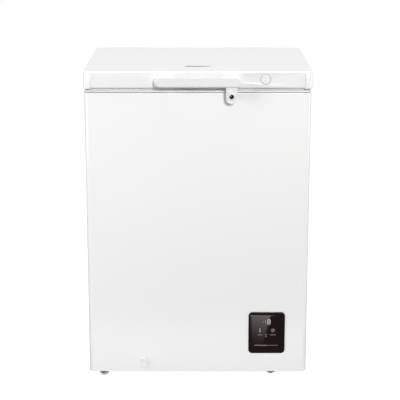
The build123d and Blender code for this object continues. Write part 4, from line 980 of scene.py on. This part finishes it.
def basket():
    (x0, y0, z0), (x1, y1, z1) = limits("basket_rim")
    (_, fy0, _), (_, fy1, fz1) = limits("basket_floor")
    rim_r, ring_r, grid_r, step = 2.5, 2.0, 1.6, 2.4
    left, right, z_rim = x0 + rim_r, x1 - rim_r, (z0 + z1) / 2
    z_floor = fz1 - ring_r
    wall = (fy1 - fy0) / 2 - ring_r
    rim_y = (y1 - y0) / 2 - rim_r
    xs = [left + 32 + (right - left - 64) * i / 7 for i in range(8)]
    ys = [MID_Y - wall + 28 + (2 * wall - 56) * i / 11 for i in range(12)]
    xm, hx = (left + right) / 2, (right - left) / 2
    ring = level_ring(hx, rim_y, 28, z_rim, 14, xm)
    show(wires("basket_rim_wire", [ring], rim_r, 6, closed=True), "basket_rim")
    floor = [[(x, MID_Y - wall, z_floor), (x, MID_Y + wall, z_floor)] for x in xs]
    floor += [[(left, y, z_floor - step), (right, y, z_floor - step)] for y in ys]
    show(wires("basket_floor_grid", floor, grid_r), "basket_floor")
    ring = level_ring(hx, wall, 28, z_floor, 14, xm)
    show(wires("basket_floor_ring", [ring], ring_r, closed=True), "basket_floor")
    walls = []
    for sy in (-1, 1):
        y = MID_Y + sy * wall
        for x in xs:
            route = [(x, y, z_floor), (x, y, z_rim), (x, MID_Y + sy * (rim_y - 1), z_rim)]
            walls.append(bent(route, 5))
        for z in (z_rim - 70, z_rim - 135):
            walls.append([(left + 10, y - sy * step, z), (right - 10, y - sy * step, z)])
    for sx, x in ((-1, left), (1, right)):
        for y in ys:
            walls.append([(x, y, z_floor), (x, y, z_rim)])
        inner_x, reach = x - sx * step, wall - 8
        for z in (z_rim - 70, z_rim - 135):
            walls.append([(inner_x, MID_Y - reach, z), (inner_x, MID_Y + reach, z)])
    show(wires("basket_wall_grids", walls, grid_r), "basket_walls")
    grips = []
    for box in solid_boxes("basket_grips"):
        x, y, z = middle(box)
        half = (box[1][1] - box[0][1]) / 2
        profile = [(2.6, -half), (3.6, -half + 0.2), (4.2, -half + 1)]
        for k in range(15):
            profile += [(4.35, -half + 3 + 5.8 * k), (4.05, -half + 5 + 5.8 * k)]
        profile = [p for p in profile if p[1] < half - 1.5]
        profile += [(4.2, half - 1), (3.6, half - 0.2), (2.6, half)]
        grips.append(lathe("grip", profile, (x, y, z), "Y", 32, 60, ring=True))
    show(joined("basket_grip_sleeves", grips), "basket_grips")


def stopper():
    (x0, y0, z0), (x1, y1, z1) = limits("drain_stopper")
    x, y, r = (x0 + x1) / 2, (y0 + y1) / 2, (x1 - x0) / 2
    floor = z1 - 13
    head = [(6.7, 0.3), (r - 0.4, 0.3), (r, 0.8), (r, 2.8), (r - 0.4, 3.8), (r - 1.4, 4.3), (4, 4.3)]
    profile = [(6.0, z0), (6.6, z0 + 0.7)] + [(radius, floor + rise) for radius, rise in head]
    body = lathe("stopper_plug", profile, (x, y, 0), "Z", 48)
    grip = plate("grip", x, floor + 7.5, 18, 11, 5, y + 1.5, [(0.4, 0), (0, 0.4), (0, 2.6), (0.4, 3.0)])
    combine(body, grip, "UNION")
    show(body, "drain_stopper")


# ------------------------------------------------------------------ compressor
def compressor():
    """Deep-drawn shell with its welded lip and base plate."""
    (x0, y0, z0), (x1, y1, z1) = limits("compressor_pot")
    x, y = (x0 + x1) / 2, (y0 + y1) / 2
    base = z0 + 3
    r, tall = 60.0, z1 - base
    seam = base + tall * 0.45
    dome = [(r * math.cos(a), z1 - 28 + 28 * math.sin(a)) for a in quarter(10)[:-1]]
    dome = [(32 + (p[0] / r) * 28 if p[0] < r else r, p[1]) for p in dome]
    cup = [(32 + 28 * math.sin(a), base + 28 - 28 * math.cos(a)) for a in quarter(9)]
    profile = [(10, base)] + cup + [(r, seam), (r + 2.6, seam), (r + 3, seam + 0.5), (r + 3, seam + 4.5),
                                    (r + 2.6, seam + 5), (r, seam + 5)] + dome + [(10, z1)]
    body = lathe("compressor_shell", profile, (x, y, 0), "Z", 72)
    foot = [(0.5, z0), (0, z0 + 0.5), (0, z0 + 2.5), (0.5, z0 + 3)]
    combine(body, skin("base", stacked(77, 77, 12, foot, 8, x, y)), "UNION")
    show(smooth(body, 30), "compressor_pot")


casing()
rim()
liner()
back_sheet()
back_screws("cabinet_screws", "cabinet_screw_heads")
back_screws("leaf_screws", "leaf_screw_heads")
lid_cover()
for end_name, corner_sy in (("front", -1), ("rear", 1)):
    for side_name, corner_sx in (("left", -1), ("right", 1)):
        lid_corner(f"lid_corner_{end_name}_{side_name}", corner_sx, corner_sy)
lid_panel()
gasket()
handle()
hasp()
lock_cap()
badge()
bracket()
panel_glass = control_panel()
drain_cap()
roller("roller_wheel_front")
roller("roller_wheel_rear")
roller_housings()
foot("foot_front")
foot("foot_rear")
hinges()
gland()
basket()
stopper()
compressor()


# ------------------------------------------------------------------ floor, light and camera
def floor():
    """Wide white floor, clear from below, so that a view from there still sees the object. The light that it
    would throw up comes from floor_bounce instead."""
    mesh = bpy.data.meshes.new("studio_floor")
    size = 60.0
    corners = [(-size, -size, 0), (size, -size, 0), (size, size, 0), (-size, size, 0)]
    mesh.from_pydata(corners, [], [(0, 1, 2, 3)])
    obj = bpy.data.objects.new("studio_floor", mesh)
    scene.collection.objects.link(obj)
    material = bpy.data.materials.new("studio_floor")
    material.use_nodes = True
    shader = material.node_tree.nodes["Principled BSDF"]
    shader.inputs["Base Color"].default_value = (0.35, 0.35, 0.35, 1)
    shader.inputs["Roughness"].default_value = 0.9
    shader.inputs["Specular IOR Level"].default_value = 0.0
    shader.inputs["Emission Color"].default_value = (1, 1, 1, 1)
    shader.inputs["Emission Strength"].default_value = 0.9
    tree = material.node_tree
    add, link = tree.nodes.new, tree.links.new
    geometry = add("ShaderNodeNewGeometry")
    clear = add("ShaderNodeBsdfTransparent")
    sides = add("ShaderNodeMixShader")
    link(geometry.outputs["Backfacing"], sides.inputs["Fac"])
    link(shader.outputs["BSDF"], sides.inputs[1])
    link(clear.outputs["BSDF"], sides.inputs[2])
    link(sides.outputs["Shader"], tree.nodes["Material Output"].inputs["Surface"])
    mesh.materials.append(material)
    obj.visible_diffuse = False
    obj.visible_glossy = False
    obj.visible_shadow = False


def area(name, position, target, width, height, power):
    light = bpy.data.lights.new(name, "AREA")
    light.shape = "RECTANGLE"
    light.size, light.size_y = width, height
    light.energy = power
    obj = bpy.data.objects.new(name, light)
    obj.location = position
    direction = Vector(target) - Vector(position)
    obj.rotation_euler = direction.to_track_quat("-Z", "Y").to_euler()
    scene.collection.objects.link(obj)
    return obj


def world():
    """Dim grey studio, a little brighter upwards, and plain white where the camera looks past the object."""
    made = bpy.data.worlds.new("studio")
    scene.world = made
    made.use_nodes = True
    tree = made.node_tree
    add, link = tree.nodes.new, tree.links.new
    background = tree.nodes["Background"]
    coords = add("ShaderNodeTexCoord")
    split = add("ShaderNodeSeparateXYZ")
    ramp = add("ShaderNodeValToRGB")
    stops = ((0.0, BELOW), (0.47, BELOW), (0.53, LEVEL), (0.75, ABOVE), (1.0, ABOVE))
    ramp.color_ramp.elements[0].position, ramp.color_ramp.elements[1].position = stops[0][0], stops[-1][0]
    for position, _ in stops[1:-1]:
        ramp.color_ramp.elements.new(position)
    for element, (_, value) in zip(ramp.color_ramp.elements, stops):
        element.color = (value, value, value, 1)
    height = add("ShaderNodeMapRange")
    height.inputs["From Min"].default_value = -1.0
    seen = add("ShaderNodeLightPath")
    mix = add("ShaderNodeMixRGB")
    mix.inputs["Color2"].default_value = (1, 1, 1, 1)
    link(coords.outputs["Generated"], split.inputs["Vector"])
    link(split.outputs["Z"], height.inputs["Value"])
    link(height.outputs["Result"], ramp.inputs["Fac"])
    link(ramp.outputs["Color"], mix.inputs["Color1"])
    link(seen.outputs["Is Camera Ray"], mix.inputs["Fac"])
    link(mix.outputs["Color"], background.inputs["Color"])
    background.inputs["Strength"].default_value = 1.0


BELOW, LEVEL, ABOVE = 0.13, 0.18, 0.27
floor()
world()
area("overhead", (0.0, 0.2, 3.2), (0, 0, 0.6), 2.4, 2.4, 50)
area("backdrop", (0.0, 3.5, 1.4), (0, 0, 1.4), 5.0, 2.4, 17).visible_camera = False
area("key", (1.2, -6.5, 3.0), (0, -0.2, 0.5), 0.8, 0.8, 264)
area("left_box", (-2.9, -1.6, 1.1), (0, 0, 0.5), 1.1, 2.2, 57)
area("right_box", (2.9, -0.7, 1.0), (0, 0, 0.45), 1.1, 2.0, 36)
area("floor_bounce", (0.0, -1.2, -0.9), (0, -0.24, 0.1), 3.0, 0.3, 6.5)

EYE = Vector((0.0, -3.6135, 1.357))
camera = bpy.data.cameras.new("camera")
camera.sensor_fit = "HORIZONTAL"
camera.sensor_width = 36.0
camera.lens = 116.7
camera.shift_x = 0.0055
camera_object = bpy.data.objects.new("camera", camera)
camera_object.location = EYE
camera_object.rotation_euler = (math.radians(90 - 14.10), 0, 0)
scene.collection.objects.link(camera_object)
scene.camera = camera_object
scene.view_settings.view_transform = "Standard"


def sheen(glass):
    """A leaning card that only the panel's glass mirrors, fading downwards. It stands below the floor, where
    the glass sends the view, and leaves a slanting edge across the upper left of the panel."""
    low, high = (Vector(corner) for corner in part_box("control_glass"))
    centre = (low + high) / 2
    centre.y = low.y
    behind = Vector((EYE.x, 2 * centre.y - EYE.y, EYE.z))
    away = centre - behind
    forward = away.normalized()
    right = forward.cross(Vector((0, 0, 1))).normalized() * -1
    up = right.cross(forward)
    if up.z < 0:
        up.negate()
    lean, width, height, edge = math.radians(14.5), 0.6, 0.34, -0.004
    card_up = right * math.sin(lean) + up * math.cos(lean)
    card_right = right * math.cos(lean) - up * math.sin(lean)
    place = centre + away + right * edge - card_right * width / 2 + card_up * 0.04
    light = bpy.data.lights.new("glass_card", "AREA")
    light.shape = "RECTANGLE"
    light.size, light.size_y = width, height
    light.energy = 6.8
    light.color = (1.0, 0.93, 0.9)
    light.use_nodes = True
    tree = light.node_tree
    geometry = tree.nodes.new("ShaderNodeNewGeometry")
    split = tree.nodes.new("ShaderNodeSeparateXYZ")
    fade = tree.nodes.new("ShaderNodeMapRange")
    fade.interpolation_type = "SMOOTHSTEP"
    fade.inputs["From Min"].default_value = 0.1
    tree.links.new(geometry.outputs["Parametric"], split.inputs["Vector"])
    tree.links.new(split.outputs["Y"], fade.inputs["Value"])
    tree.links.new(fade.outputs["Result"], tree.nodes["Emission"].inputs["Strength"])
    obj = bpy.data.objects.new("glass_card", light)
    turn = Matrix((-card_right, card_up, forward)).transposed()
    obj.matrix_world = Matrix.Translation(place) @ turn.to_4x4()
    scene.collection.objects.link(obj)
    receivers = bpy.data.collections.new("glass_only")
    receivers.objects.link(glass)
    obj.light_linking.receiver_collection = receivers
    obj.visible_camera = False


sheen(panel_glass)

bpy.context.view_layer.update()
